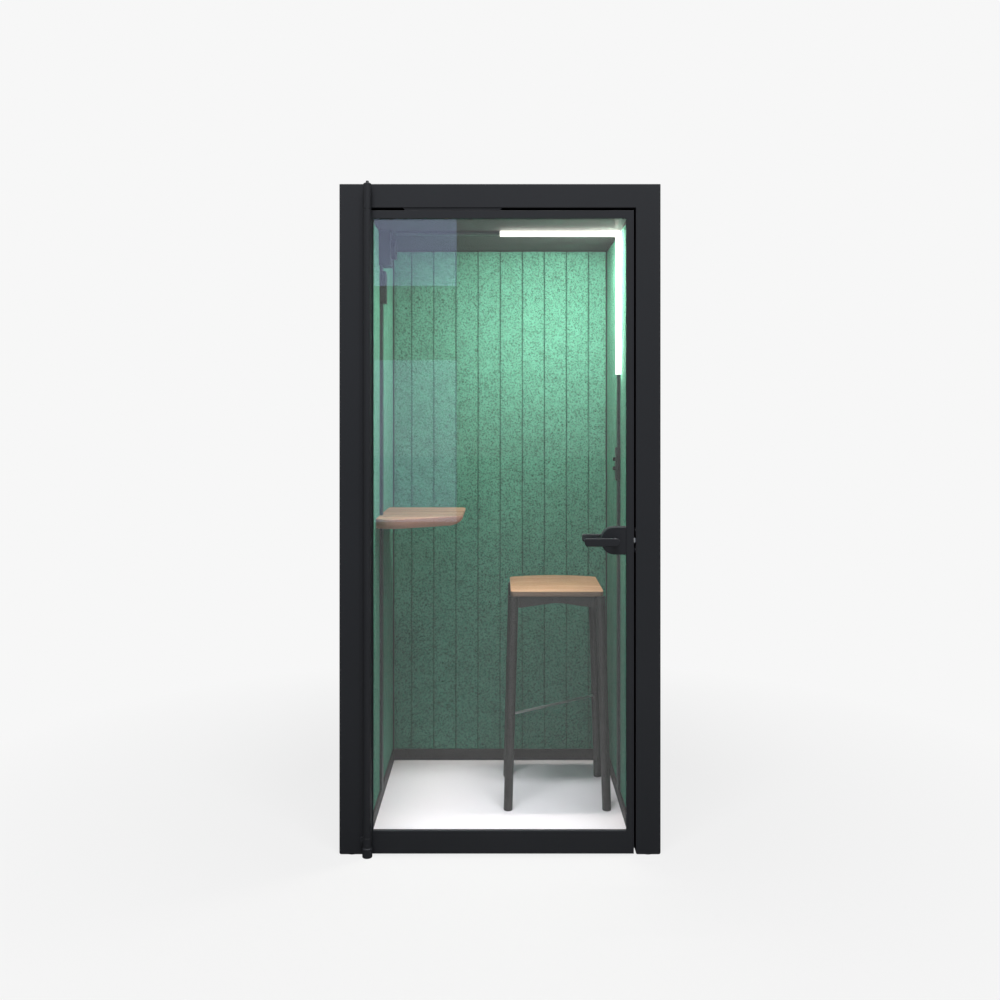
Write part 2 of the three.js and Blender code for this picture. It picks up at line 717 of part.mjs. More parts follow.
// A half-round plate outline about the spindle, square at its right end
function lockOutline(radius, right) {
  const shape = new THREE.Shape();
  shape.absarc(SPINDLE_X, LOCK_HEIGHT, radius, Math.PI / 2, 1.5 * Math.PI, false);
  shape.lineTo(right, LOCK_HEIGHT - radius);
  shape.lineTo(right, LOCK_HEIGHT + radius);
  shape.closePath();
  return shape;
}

// The straight way that the bolt slides along, from the spindle to the given end
function boltWay(play, end) {
  const half = BOLT_THICK / 2 + play;
  const middle = LEAF_THICK / 2;
  const rise = [LOCK_HEIGHT - BOLT_HEIGHT / 2 - play, LOCK_HEIGHT + BOLT_HEIGHT / 2 + play];
  return block([SPINDLE_X, end], [middle - half, middle + half], rise);
}

function lockPlates() {
  const right = GLASS_RIGHT - SEAT;
  const bore = [-LEVER_REACH, LEAF_THICK + LEVER_REACH];
  const hole = bar(SPINDLE_BORE, "y", bore, SPINDLE_X, LOCK_HEIGHT);
  const plate = (end, span) => prism(lockOutline(PLATE_RADIUS, end), "y", span, PLATE_EDGE, ROUND_STEPS);
  const way = boltWay(BOLT_PLAY, GLASS_RIGHT + GLASS_BITE + GLASS_PLAY);
  const innerPlate = plate(right + GLASS_BITE + GLASS_PLAY, [GLASS_BACK + SEAT, LEAF_THICK + PLATE_PROUD]);
  const caseBody = prism(lockOutline(CASE_RADIUS, right), "y", [GLASS_FRONT - PAST, GLASS_BACK]);
  const outerPlate = plate(right, [-PLATE_PROUD, GLASS_LIP]);
  return [
    piece("lock_plate_outer", cut(join(outerPlate, caseBody), hole, way), "powder"),
    piece("lock_plate_inner", cut(innerPlate, hole, way), "powder"),
  ];
}

function latchBolt() {
  const tail = GLASS_RIGHT - BOLT_TAIL;
  const nose = LEAF_RIGHT + BOLT_THROW;
  const front = (LEAF_THICK - BOLT_THICK) / 2;
  const back = front + BOLT_THICK;
  const plan = outline([
    [tail, front],
    [nose, front],
    [nose, front + BOLT_TIP],
    [nose - BOLT_BEVEL, back],
    [tail, back],
  ]);
  const rise = [LOCK_HEIGHT - BOLT_HEIGHT / 2, LOCK_HEIGHT + BOLT_HEIGHT / 2];
  return piece("latch_bolt", prism(plan, "z", rise), "steel");
}

// The strike plate lies flush in the right stile, over a pocket for the bolt
function strikeRecess() {
  const middle = LEAF_THICK / 2;
  const deep = spanAbout(STRIKE_WIDTH, SEAT, middle);
  const rise = spanAbout(STRIKE_HEIGHT, SEAT, LOCK_HEIGHT);
  const recess = prism(rectangle(deep, rise, STRIKE_CORNER), "x", [JAMB - PAST, JAMB + STRIKE_THICK + SEAT]);
  const pocketEnd = LEAF_RIGHT + BOLT_THROW + POCKET_DEPTH;
  const pocketDeep = spanAbout(BOLT_THICK, STRIKE_PLAY, middle);
  const pocketRise = spanAbout(BOLT_HEIGHT, STRIKE_PLAY, LOCK_HEIGHT);
  return [recess, block([JAMB, pocketEnd], pocketDeep, pocketRise)];
}

function strikePlate() {
  const middle = LEAF_THICK / 2;
  const deep = spanAbout(STRIKE_WIDTH, 0, middle);
  const face = rectangle(deep, spanAbout(STRIKE_HEIGHT, 0, LOCK_HEIGHT), STRIKE_CORNER);
  const window = rectangle(
    spanAbout(BOLT_THICK, STRIKE_PLAY, middle),
    spanAbout(BOLT_HEIGHT, STRIKE_PLAY, LOCK_HEIGHT),
  );
  face.holes.push(window);
  return piece("strike_plate", prism(face, "x", [JAMB, JAMB + STRIKE_THICK]), "steel");
}

// Levers: flat bars on round necks, joined by a square spindle fixed in the outer one
function leverBar(span) {
  const [low, high] = spanAbout(LEVER_HEIGHT, 0, LOCK_HEIGHT);
  const face = outline([
    [SPINDLE_X - LEVER_LENGTH, low, LEVER_TIP],
    [SPINDLE_X + LEVER_TAIL, low, LEVER_TIP],
    [SPINDLE_X + LEVER_TAIL, high, LEVER_TIP],
    [SPINDLE_X - LEVER_LENGTH, high, LEVER_TIP],
  ]);
  return prism(face, "y", span, LEVER_EDGE);
}

function levers() {
  const outerFace = -PLATE_PROUD - NECK_GAP;
  const innerFace = LEAF_THICK + PLATE_PROUD + NECK_GAP;
  const outerBar = [-LEVER_REACH, -LEVER_REACH + LEVER_THICK];
  const innerEnd = LEAF_THICK + LEVER_REACH;
  const innerBar = [innerEnd - LEVER_THICK, innerEnd];
  const neck = (span) => bar(NECK_RADIUS, "y", span, SPINDLE_X, LOCK_HEIGHT);
  const square = (size, span) => {
    const face = rectangle(spanAbout(size, 0, SPINDLE_X), spanAbout(size, 0, LOCK_HEIGHT));
    return prism(face, "y", span);
  };
  const spindle = square(SPINDLE, [outerBar[1] - PAST, innerFace + SPINDLE_BITE]);
  const socket = square(SPINDLE + 2 * SEAT, [innerFace - PAST, innerFace + SPINDLE_BITE + SEAT]);
  const outer = join(leverBar(outerBar), neck([outerBar[1] - PAST, outerFace]), spindle);
  const inner = cut(join(leverBar(innerBar), neck([innerFace, innerBar[0] + PAST])), socket);
  return [piece("lever_outer", outer, "powder"), piece("lever_inner", inner, "powder")];
}

// Rail parts are drawn with x out from the surface they are fixed to, y across the rail, z along it
function railShape() {
  const half = RAIL_WIDTH / 2;
  const groove = RAIL_GROOVE / 2;
  const floor = RAIL_PROUD - RAIL_GROOVE_DEPTH;
  return outline([
    [SEAT, -half],
    [RAIL_PROUD, -half, RAIL_EDGE],
    [RAIL_PROUD, -groove],
    [floor, -groove],
    [floor, groove],
    [RAIL_PROUD, groove],
    [RAIL_PROUD, half, RAIL_EDGE],
    [SEAT, half],
  ]);
}

// The space that the rail takes inside whatever clips over it
function railWay(span) {
  const half = RAIL_WIDTH / 2 + CLIP_PLAY;
  return block([-PAST, RAIL_PROUD + CLIP_PLAY], [-half, half], span);
}

function lightShape() {
  const inner = RAIL_WIDTH / 2 + CLIP_PLAY;
  const outer = inner + LIGHT_SIDE;
  const floor = RAIL_PROUD + CLIP_PLAY;
  return outline([
    [SEAT, -outer],
    [LIGHT_PROUD, -outer, LIGHT_ROUND],
    [LIGHT_PROUD, outer, LIGHT_ROUND],
    [SEAT, outer],
    [SEAT, inner],
    [floor, inner],
    [floor, -inner],
    [SEAT, -inner],
  ]);
}

function clipBox(width, proud, [low, high]) {
  const face = rectangle([-width / 2, width / 2], [low, high], BOX_ROUND);
  const shell = prism(face, "x", [SEAT, proud], BOX_EDGE);
  return cut(shell, railWay([low - PAST, high + PAST]));
}

function knob(name) {
  const profile = [
    [0, 0],
    [KNOB_RADIUS, 0],
    [KNOB_RADIUS - KNOB_TAPER, KNOB_REACH - KNOB_CHAMFER],
    [KNOB_RADIUS - KNOB_TAPER - KNOB_CHAMFER, KNOB_REACH],
    [0, KNOB_REACH],
  ];
  const half = KNOB_POINTER / 2;
  const groove = block([-half, half], [0, KNOB_RADIUS], [KNOB_REACH - KNOB_POINTER, KNOB_REACH + PAST]);
  return piece(name, cut(turned(profile), groove).rotateY(Math.PI / 2).rotateX(Math.PI), "plastic");
}

function leftRail() {
  const group = new THREE.Group();
  group.position.set(-CABIN_HALF, RAIL_DEPTH, 0);
  group.add(piece("rail_left", prism(railShape(), "z", [RAIL_LOW, FAN_LOW - SEAT]), "rail"));
  const driver = clipBox(DRIVER_WIDTH, DRIVER_PROUD, [DRIVER_LOW, DRIVER_HIGH]);
  const ribs = [];
  for (let at = DRIVER_LOW + 2 * BOX_ROUND; at < DRIVER_HIGH - 2 * BOX_ROUND; at += 2 * DRIVER_RIB) {
    const wide = spanAbout(DRIVER_WIDTH - 4 * BOX_ROUND, 0, 0);
    ribs.push(block([DRIVER_PROUD - DRIVER_RIB_DEPTH, DRIVER_PROUD + PAST], wide, [at, at + DRIVER_RIB]));
  }
  group.add(piece("driver_box", cut(driver, ...ribs), "plastic"));
  return group;
}

function ceilingRail() {
  const group = new THREE.Group();
  group.position.set(0, RAIL_DEPTH, CEILING);
  group.rotation.y = Math.PI / 2;
  const start = -CABIN_HALF + FAN_PROUD + COLLAR_REACH;
  const end = CABIN_HALF - LIGHT_PROUD - SEAT;
  group.add(piece("rail_ceiling", prism(railShape(), "z", [start, end]), "rail"));
  group.add(piece("light_ceiling", prism(lightShape(), "z", [CEILING_LIGHT_START, end]), "opal"));
  return group;
}

function rightRail() {
  const group = new THREE.Group();
  group.position.set(CABIN_HALF, RAIL_DEPTH, 0);
  group.rotation.z = Math.PI;
  group.add(piece("rail_right", prism(railShape(), "z", [RAIL_LOW, CEILING - SEAT]), "rail"));
  const lightTop = CEILING - SEAT;
  group.add(piece("light_wall", prism(lightShape(), "z", [lightTop - WALL_LIGHT_LENGTH, lightTop]), "opal"));
  const controls = clipBox(CONTROL_WIDTH, CONTROL_PROUD, spanAbout(CONTROL_HEIGHT, 0, CONTROL_MIDDLE));
  group.add(piece("control_box", controls, "plastic"));
  [1, -1].forEach((way) => {
    const dial = knob(way > 0 ? "knob_upper" : "knob_lower");
    dial.position.set(CONTROL_PROUD + SEAT, 0, CONTROL_MIDDLE + (way * KNOB_SPACING) / 2);
    group.add(dial);
  });
  return group;
}

// Fan unit: a housing with a round collar, a bladed rotor on the motor's axle, and a wire guard
function fanHousing() {
  const face = rectangle(spanAbout(FAN_WIDTH, 0, 0), spanAbout(FAN_HEIGHT, 0, 0), BOX_ROUND);
  const shell = prism(face, "x", [SEAT, FAN_PROUD], BOX_EDGE);
  const collar = bar(COLLAR_RADIUS, "x", [FAN_PROUD - PAST, FAN_PROUD + COLLAR_REACH]);
  const bore = bar(DUCT_RADIUS, "x", [-PAST, FAN_PROUD + COLLAR_REACH + PAST]);
  const motorEnd = MOTOR_LOW + MOTOR_LENGTH;
  const motor = bar(MOTOR_RADIUS, "x", [MOTOR_LOW, motorEnd]);
  const axle = bar(AXLE_RADIUS, "x", [motorEnd - PAST, motorEnd + AXLE_REACH]);
  const arms = Array.from({ length: MOTOR_ARMS }, (_, i) => {
    const half = MOTOR_ARM / 2;
    const arm = block([MOTOR_LOW, MOTOR_LOW + MOTOR_ARM], [-half, half], [0, DUCT_RADIUS + PAST]);
    return arm.rotateX((i * 2 * Math.PI) / MOTOR_ARMS);
  });
  return join(cut(join(shell, collar), bore), motor, axle, ...arms);
}

// Rotor: hub and swept blades drawn as one star, then wound about the axle along its length
function rotorOutline() {
  const tip = DUCT_RADIUS - TIP_GAP;
  const step = (2 * Math.PI) / BLADES;
  const corners = [];
  for (let i = 0; i < BLADES; i += 1) {
    const polar = (radius, angle) => {
      const turn = i * step + angle;
      return [radius * Math.cos(turn), radius * Math.sin(turn)];
    };
    const side = (way) => [0, 0.5, 1].map((out) => {
      const radius = HUB_RADIUS + (tip - HUB_RADIUS) * out;
      return polar(radius, BLADE_SWEEP * out * out + way * Math.asin(BLADE_THICK / 2 / radius));
    });
    const arc = [1, 2, 3].map((part) => polar(HUB_RADIUS, (part * step) / 4));
    corners.push(...side(-1), ...side(1).reverse(), ...arc);
  }
  const shape = outline(corners);
  shape.holes.push(circle(AXLE_RADIUS + AXLE_PLAY));
  return shape;
}

function fanRotor() {
  const low = MOTOR_LOW + MOTOR_LENGTH + ROTOR_GAP;
  const geometry = prism(rotorOutline(), "x", [low, low + HUB_LENGTH], 0, ROUND_STEPS, BLADE_SLICES);
  const place = geometry.getAttribute("position");
  const at = new THREE.Vector3();
  for (let i = 0; i < place.count; i += 1) {
    at.fromBufferAttribute(place, i);
    at.applyAxisAngle(ACROSS, (BLADE_WIND * (at.x - low)) / HUB_LENGTH);
    place.setXYZ(i, at.x, at.y, at.z);
  }
  return geometry;
}

function fanGuard() {
  const front = FAN_PROUD + COLLAR_REACH - GUARD_INSET;
  const span = [front - GUARD_THICK, front];
  const rim = DUCT_RADIUS - SEAT;
  const ring = (outer, width) => {
    const shape = circle(outer);
    shape.holes.push(circle(outer - width));
    return prism(shape, "x", span, 0, ROUND_STEPS);
  };
  const step = (rim - GUARD_RIM) / (GUARD_RINGS + 1);
  const rings = Array.from({ length: GUARD_RINGS }, (_, i) => ring(step * (i + 1), GUARD_BAR));
  const spokes = Array.from({ length: GUARD_SPOKES }, (_, i) => {
    const half = GUARD_BAR / 2;
    const reach = rim - GUARD_RIM / 2;
    return block(span, [-half, half], [-reach, reach]).rotateX((i * Math.PI) / GUARD_SPOKES);
  });
  return join(ring(rim, GUARD_RIM), ...rings, ...spokes);
}

function fanUnit() {
  const group = new THREE.Group();
  group.position.set(-CABIN_HALF, RAIL_DEPTH, FAN_CENTRE);
  group.add(piece("fan_housing", fanHousing(), "plastic"));
  group.add(piece("fan_rotor", fanRotor(), "plastic"));
  group.add(piece("fan_guard", fanGuard(), "plastic"));
  return group;
}

// A wedge that slopes one edge of the table inwards towards its underside
function undercut([x, y], [toX, toY], depth) {
  const low = TABLE_TOP - TABLE_THICK;
  const length = Math.hypot(toX - x, toY - y);
  const wedge = outline([
    [-depth, low - PAST],
    [depth, low - PAST],
    [depth, TABLE_TOP],
    [PAST, TABLE_TOP - 2 * TABLE_EDGE],
    [-depth, low],
  ]);
  const turn = Math.atan2(toY - y, toX - x) - Math.PI / 2;
  return prism(wedge, "y", [-length, 2 * length]).rotateZ(turn).translate(x, y, 0);
}

// Table: an oak slab with a slanted front edge, undercut at its free end, notched round the rail
function tableTop() {
  const wall = -CABIN_HALF + SEAT;
  const end = -CABIN_HALF + TABLE_REACH;
  const low = TABLE_TOP - TABLE_THICK;
  const near = RAIL_DEPTH - TABLE_AHEAD;
  const far = RAIL_DEPTH + TABLE_BEHIND;
  const plan = outline([
    [wall, RAIL_DEPTH - TABLE_WALL_AHEAD],
    [-CABIN_HALF + TABLE_NOSE, near, TABLE_NOSE_ROUND],
    [end, RAIL_DEPTH - TABLE_END_AHEAD, TABLE_CORNER],
    [end, far, TABLE_CORNER],
    [wall, far],
  ]);
  const slab = prism(plan, "z", [low, TABLE_TOP], TABLE_EDGE);
  const nose = [-CABIN_HALF + TABLE_NOSE, near];
  const edges = [
    undercut([wall, RAIL_DEPTH - TABLE_WALL_AHEAD], nose, TABLE_SLOPE),
    undercut(nose, [end, RAIL_DEPTH - TABLE_END_AHEAD], TABLE_SLOPE),
    undercut([end, RAIL_DEPTH - TABLE_END_AHEAD], [end, far], TABLE_UNDERCUT),
  ];
  const notch = railWay([low - PAST, TABLE_TOP + PAST]).translate(-CABIN_HALF, RAIL_DEPTH, 0);
  return piece("table_top", cut(slab, ...edges, notch), "oak");
}

function tableBracket() {
  const wall = -CABIN_HALF + RAIL_PROUD + SEAT;
  const top = TABLE_TOP - TABLE_THICK - SEAT;
  const angle = outline([
    [wall, top],
    [wall, top - BRACKET_LIP],
    [wall + BRACKET_SHEET, top - BRACKET_LIP],
    [wall + BRACKET_SHEET, top - BRACKET_SHEET],
    [wall + BRACKET_REACH, top - BRACKET_SHEET],
    [wall + BRACKET_REACH, top],
  ]);
  return piece("table_bracket", prism(angle, "y", spanAbout(BRACKET_WIDTH, 0, RAIL_DEPTH)), "powder");
}

// Stool, drawn about its middle with z up from the pod's floor
function stoolSeat() {
  const geometry = new THREE.BoxGeometry(SEAT_WIDTH, SEAT_WIDTH, SEAT_THICK, SEAT_GRID, SEAT_GRID);
  const place = geometry.getAttribute("position");
  const top = STOOL_HEIGHT - FLOOR_TOP;
  for (let i = 0; i < place.count; i += 1) {
    const u = (2 * place.getX(i)) / SEAT_WIDTH;
    const v = (2 * place.getY(i)) / SEAT_WIDTH;
    const reach = Math.max(Math.abs(u), Math.abs(v)) || 1;
    const least = Math.min(Math.abs(u), Math.abs(v)) / reach;
    const pull = (1 + least ** SEAT_CORNER_POWER) ** (-1 / SEAT_CORNER_POWER);
    const upper = place.getZ(i) > 0;
    const half = SEAT_WIDTH / 2 - (upper ? 0 : SEAT_UNDERCUT);
    const crown = (SEAT_CROWN * (1 - u * u) * (1 + v)) / 2;
    const fall = SEAT_FALL * Math.max(0, -v) ** SEAT_FALL_POWER;
    const z = upper ? top + crown - fall : top - SEAT_THICK;
    place.setXYZ(i, u * pull * half, v * pull * half, z);
  }
  return geometry;
}

// A leg leans out towards the floor and is cut level at both ends
function stoolLeg(sideX, sideY, play) {
  const low = SEAT;
  const high = STOOL_HEIGHT - FLOOR_TOP - SEAT_THICK - SEAT;
  const top = LEG_TOP_RADIUS + play;
  const foot = LEG_FOOT_RADIUS + play;
  const leg = new THREE.CylinderGeometry(top, foot, high - low, LEG_SIDES).rotateX(Math.PI / 2);
  leg.translate(0, 0, (high - low) / 2);
  const lean = (LEG_TOP_SPREAD - LEG_FOOT_SPREAD) / 2 / (high - low);
  leg.applyMatrix4(new THREE.Matrix4().makeShear(0, 0, 0, 0, sideX * lean, sideY * lean));
  return leg.translate((sideX * LEG_FOOT_SPREAD) / 2, (sideY * LEG_FOOT_SPREAD) / 2, low);
}

const CORNERS = {
  front_left: [-1, -1],
  front_right: [1, -1],
  rear_left: [-1, 1],
  rear_right: [1, 1],
};

// The apron joins the legs under the seat. Each side has a peaked arch.
function stoolApron() {
  const high = STOOL_HEIGHT - FLOOR_TOP - SEAT_THICK - SEAT;
  const half = LEG_TOP_SPREAD / 2;
  const board = outline([
    [-half, high],
    [-half, high - APRON_HEIGHT],
    [-half + APRON_THICK, high - APRON_HEIGHT],
    [0, high - APRON_MIDDLE, APRON_PEAK],
    [half - APRON_THICK, high - APRON_HEIGHT],
    [half, high - APRON_HEIGHT],
    [half, high],
  ]);
  const sides = [0, 1, 2, 3].map((turn) =>
    prism(board, "y", [-half, -half + APRON_THICK]).rotateZ((turn * Math.PI) / 2),
  );
  const legs = Object.values(CORNERS).map(([x, y]) => stoolLeg(x, y, SEAT));
  return cut(join(...sides), ...legs);
}

function stoolBrace() {
  const middle = BRACE_HEIGHT - FLOOR_TOP;
  const reach = (rise) => {
    const share = rise / (STOOL_HEIGHT - FLOOR_TOP - SEAT_THICK);
    const spread = LEG_FOOT_SPREAD + (LEG_TOP_SPREAD - LEG_FOOT_SPREAD) * share;
    const radius = LEG_FOOT_RADIUS + (LEG_TOP_RADIUS - LEG_FOOT_RADIUS) * share;
    return spread / Math.SQRT2 - radius - BRACE_PLAY;
  };
  const front = reach(middle + BRACE_FALL / 2);
  const rear = reach(middle - BRACE_FALL / 2);
  const tilt = Math.asin(BRACE_FALL / (front + rear));
  const rod = bar(BRACE_RADIUS, "x", [-front, rear]).rotateY(tilt);
  return rod.rotateZ(Math.PI / 4).translate(0, 0, middle);
}

function stool() {
  const group = new THREE.Group();
  group.position.set(CABIN_HALF - STOOL_FROM_WALL, BACK_FACE - STOOL_FROM_BACK, FLOOR_TOP);
  group.add(piece("stool_seat", stoolSeat(), "oak"));
  for (const [corner, [x, y]] of Object.entries(CORNERS)) {
    group.add(piece(`stool_leg_${corner}`, stoolLeg(x, y, 0), "stool"));
  }
  group.add(piece("stool_apron", stoolApron(), "stool"));
  group.add(piece("stool_brace", stoolBrace(), "steel"));
  return group;
}

// Sizes are drawn with y as the depth behind the front face, and the whole is centred in depth
const pod = new THREE.Group();
const assembly = new THREE.Group();
assembly.position.y = -CENTRE_DEPTH;
pod.add(assembly);

assembly.add(stile(-1), stile(1), header(), headBar(), doorSeal(), strikePlate());
assembly.add(piece("left_wall_panel", cut(sideWall(-1), ...ventSlots()), "powder"));
assembly.add(piece("right_wall_panel", sideWall(1), "powder"));
assembly.add(piece("left_wall_core", cut(wallCore(-1), duct()), "core"));
assembly.add(piece("right_wall_core", wallCore(1), "core"));
assembly.add(piece("felt_left", cut(wallFelt(-1), duct()), "felt"));
assembly.add(piece("felt_right", wallFelt(1), "felt"));
assembly.add(...backWall(), ...roof(), floorPanel(), ...skirtings(), ...feet());
assembly.add(pivots(), hingeTube(), ...leafBars(), doorGlass(), ...lockPlates(), latchBolt(), ...levers());
assembly.add(leftRail(), ceilingRail(), rightRail(), fanUnit());
assembly.add(tableTop(), tableBracket(), stool());

export default pod;
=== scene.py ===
"""Looks of a one-person acoustic office pod: green felt cabin, charcoal frame, glazed door, light bars, oak table and stool."""

import json
import math

import bmesh
import bpy
from mathutils import Matrix, Vector


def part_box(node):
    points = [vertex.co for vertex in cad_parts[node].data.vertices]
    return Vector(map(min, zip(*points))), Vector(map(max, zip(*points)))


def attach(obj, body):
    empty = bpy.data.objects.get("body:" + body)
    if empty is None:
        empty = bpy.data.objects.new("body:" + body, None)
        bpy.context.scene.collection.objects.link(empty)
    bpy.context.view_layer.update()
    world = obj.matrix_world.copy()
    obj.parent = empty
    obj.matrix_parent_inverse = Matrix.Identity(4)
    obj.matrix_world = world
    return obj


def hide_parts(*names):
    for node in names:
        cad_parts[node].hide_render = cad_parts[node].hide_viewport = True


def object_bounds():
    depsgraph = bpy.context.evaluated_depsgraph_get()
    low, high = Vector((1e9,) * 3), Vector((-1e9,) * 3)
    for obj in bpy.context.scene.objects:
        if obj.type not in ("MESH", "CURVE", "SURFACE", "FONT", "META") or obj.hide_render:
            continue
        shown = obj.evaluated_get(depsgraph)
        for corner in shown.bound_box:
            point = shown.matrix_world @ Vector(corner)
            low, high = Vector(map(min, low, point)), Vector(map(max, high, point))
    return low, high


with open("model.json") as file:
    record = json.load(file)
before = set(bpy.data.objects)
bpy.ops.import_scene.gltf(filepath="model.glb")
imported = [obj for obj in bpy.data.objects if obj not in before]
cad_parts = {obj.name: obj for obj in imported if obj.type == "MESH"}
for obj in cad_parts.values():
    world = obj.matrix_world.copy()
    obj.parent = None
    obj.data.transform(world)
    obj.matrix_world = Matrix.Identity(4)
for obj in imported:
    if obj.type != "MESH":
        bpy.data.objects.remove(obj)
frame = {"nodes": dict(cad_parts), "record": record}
cad_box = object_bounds()
nodes = frame["nodes"]
MM = 0.001


# Shared helpers


def linear(hex_colour):
    """A colour written as sRGB hex, as linear RGBA."""
    values = [int(hex_colour[i : i + 2], 16) / 255 for i in (1, 3, 5)]
    return [v / 12.92 if v <= 0.04045 else ((v + 0.055) / 1.055) ** 2.4 for v in values] + [1.0]


def add(tree, kind, inputs=None, **settings):
    """Adds one node: settings are its own fields, inputs hold values or the sockets that feed it."""
    made = tree.nodes.new(kind)
    for field, value in settings.items():
        setattr(made, field, value)
    for key, value in (inputs or {}).items():
        if isinstance(value, bpy.types.NodeSocket):
            tree.links.new(value, made.inputs[key])
        else:
            made.inputs[key].default_value = value
    return made


def per_metre(size_mm):
    """The texture scale whose features are about this many millimetres across."""
    return 1 / (size_mm * MM)


def new_material(name, **sockets):
    """A material with one principled shader, its constant sockets set, and its tree."""
    made = bpy.data.materials.new(name)
    made.use_nodes = True
    shader = made.node_tree.nodes["Principled BSDF"]
    for key, value in sockets.items():
        shader.inputs[key.replace("_", " ")].default_value = value
    return made, made.node_tree, shader


def blend_colours(tree, factor, low, high):
    """A mix of two colours by a texture's value."""
    mixed = add(tree, "ShaderNodeMix", {0: factor}, data_type="RGBA")
    for index, value in ((6, low), (7, high)):
        if isinstance(value, str):
            mixed.inputs[index].default_value = linear(value)
        else:
            tree.links.new(value, mixed.inputs[index])
    return mixed.outputs[2]


def worn_and_highlit_edges(tree, radius_mm, low, high):
    """A share that rises from nought on flat faces to one on edges rounder than the radius."""
    flat = add(tree, "ShaderNodeNewGeometry").outputs["Normal"]
    soft = add(tree, "ShaderNodeBevel", {"Radius": radius_mm * MM}, samples=4)
    turned = add(tree, "ShaderNodeVectorMath", {0: flat, 1: soft.outputs[0]}, operation="DOT_PRODUCT")
    return add(tree, "ShaderNodeMapRange", {"Value": turned.outputs["Value"], 1: high, 2: low}).outputs[0]


# Materials


def powder_coat(name, dark, light, worn_and_highlit, roughness=0.5, specular=0.45, coat=0.0):
    """Polyester powder coat on sheet and bar: satin, with a fine orange peel, a faint drift of tone and edges rubbed paler.
    The peel is about 1 mm in life, drawn at 2.4 mm so that it shows."""
    made, tree, shader = new_material(name, Specular_IOR_Level=specular, Coat_Weight=coat, Coat_Roughness=0.18)
    where = add(tree, "ShaderNodeTexCoord").outputs["Object"]
    drift = add(tree, "ShaderNodeTexNoise", {"Vector": where, "Scale": per_metre(260), "Detail": 3.0})
    peel = add(tree, "ShaderNodeTexNoise", {"Vector": where, "Scale": per_metre(2.4), "Detail": 2.0})
    tone = blend_colours(tree, drift.outputs["Fac"], dark, light)
    speck = add(tree, "ShaderNodeMapRange", {"Value": peel.outputs["Fac"], 1: 0.35, 2: 0.75, 3: 0.9, 4: 1.12})
    shade = add(tree, "ShaderNodeMix", {0: 1.0, 6: tone, 7: speck.outputs[0]}, data_type="RGBA", blend_type="MULTIPLY")
    rough = add(tree, "ShaderNodeMapRange", {"Value": peel.outputs["Fac"], 3: roughness - 0.08, 4: roughness + 0.08})
    bump = add(tree, "ShaderNodeBump", {"Strength": 0.12, "Distance": 0.0004, "Height": peel.outputs["Fac"]})
    rubbed_and_highlit = add(tree, "ShaderNodeMath", {0: worn_and_highlit_edges(tree, 1.5, 0.9, 0.995), 1: drift.outputs["Fac"]}, operation="MULTIPLY")
    tree.links.new(blend_colours(tree, rubbed_and_highlit.outputs[0], shade.outputs[2], worn_and_highlit), shader.inputs["Base Color"])
    tree.links.new(rough.outputs[0], shader.inputs["Roughness"])
    tree.links.new(bump.outputs[0], shader.inputs["Normal"])
    return made


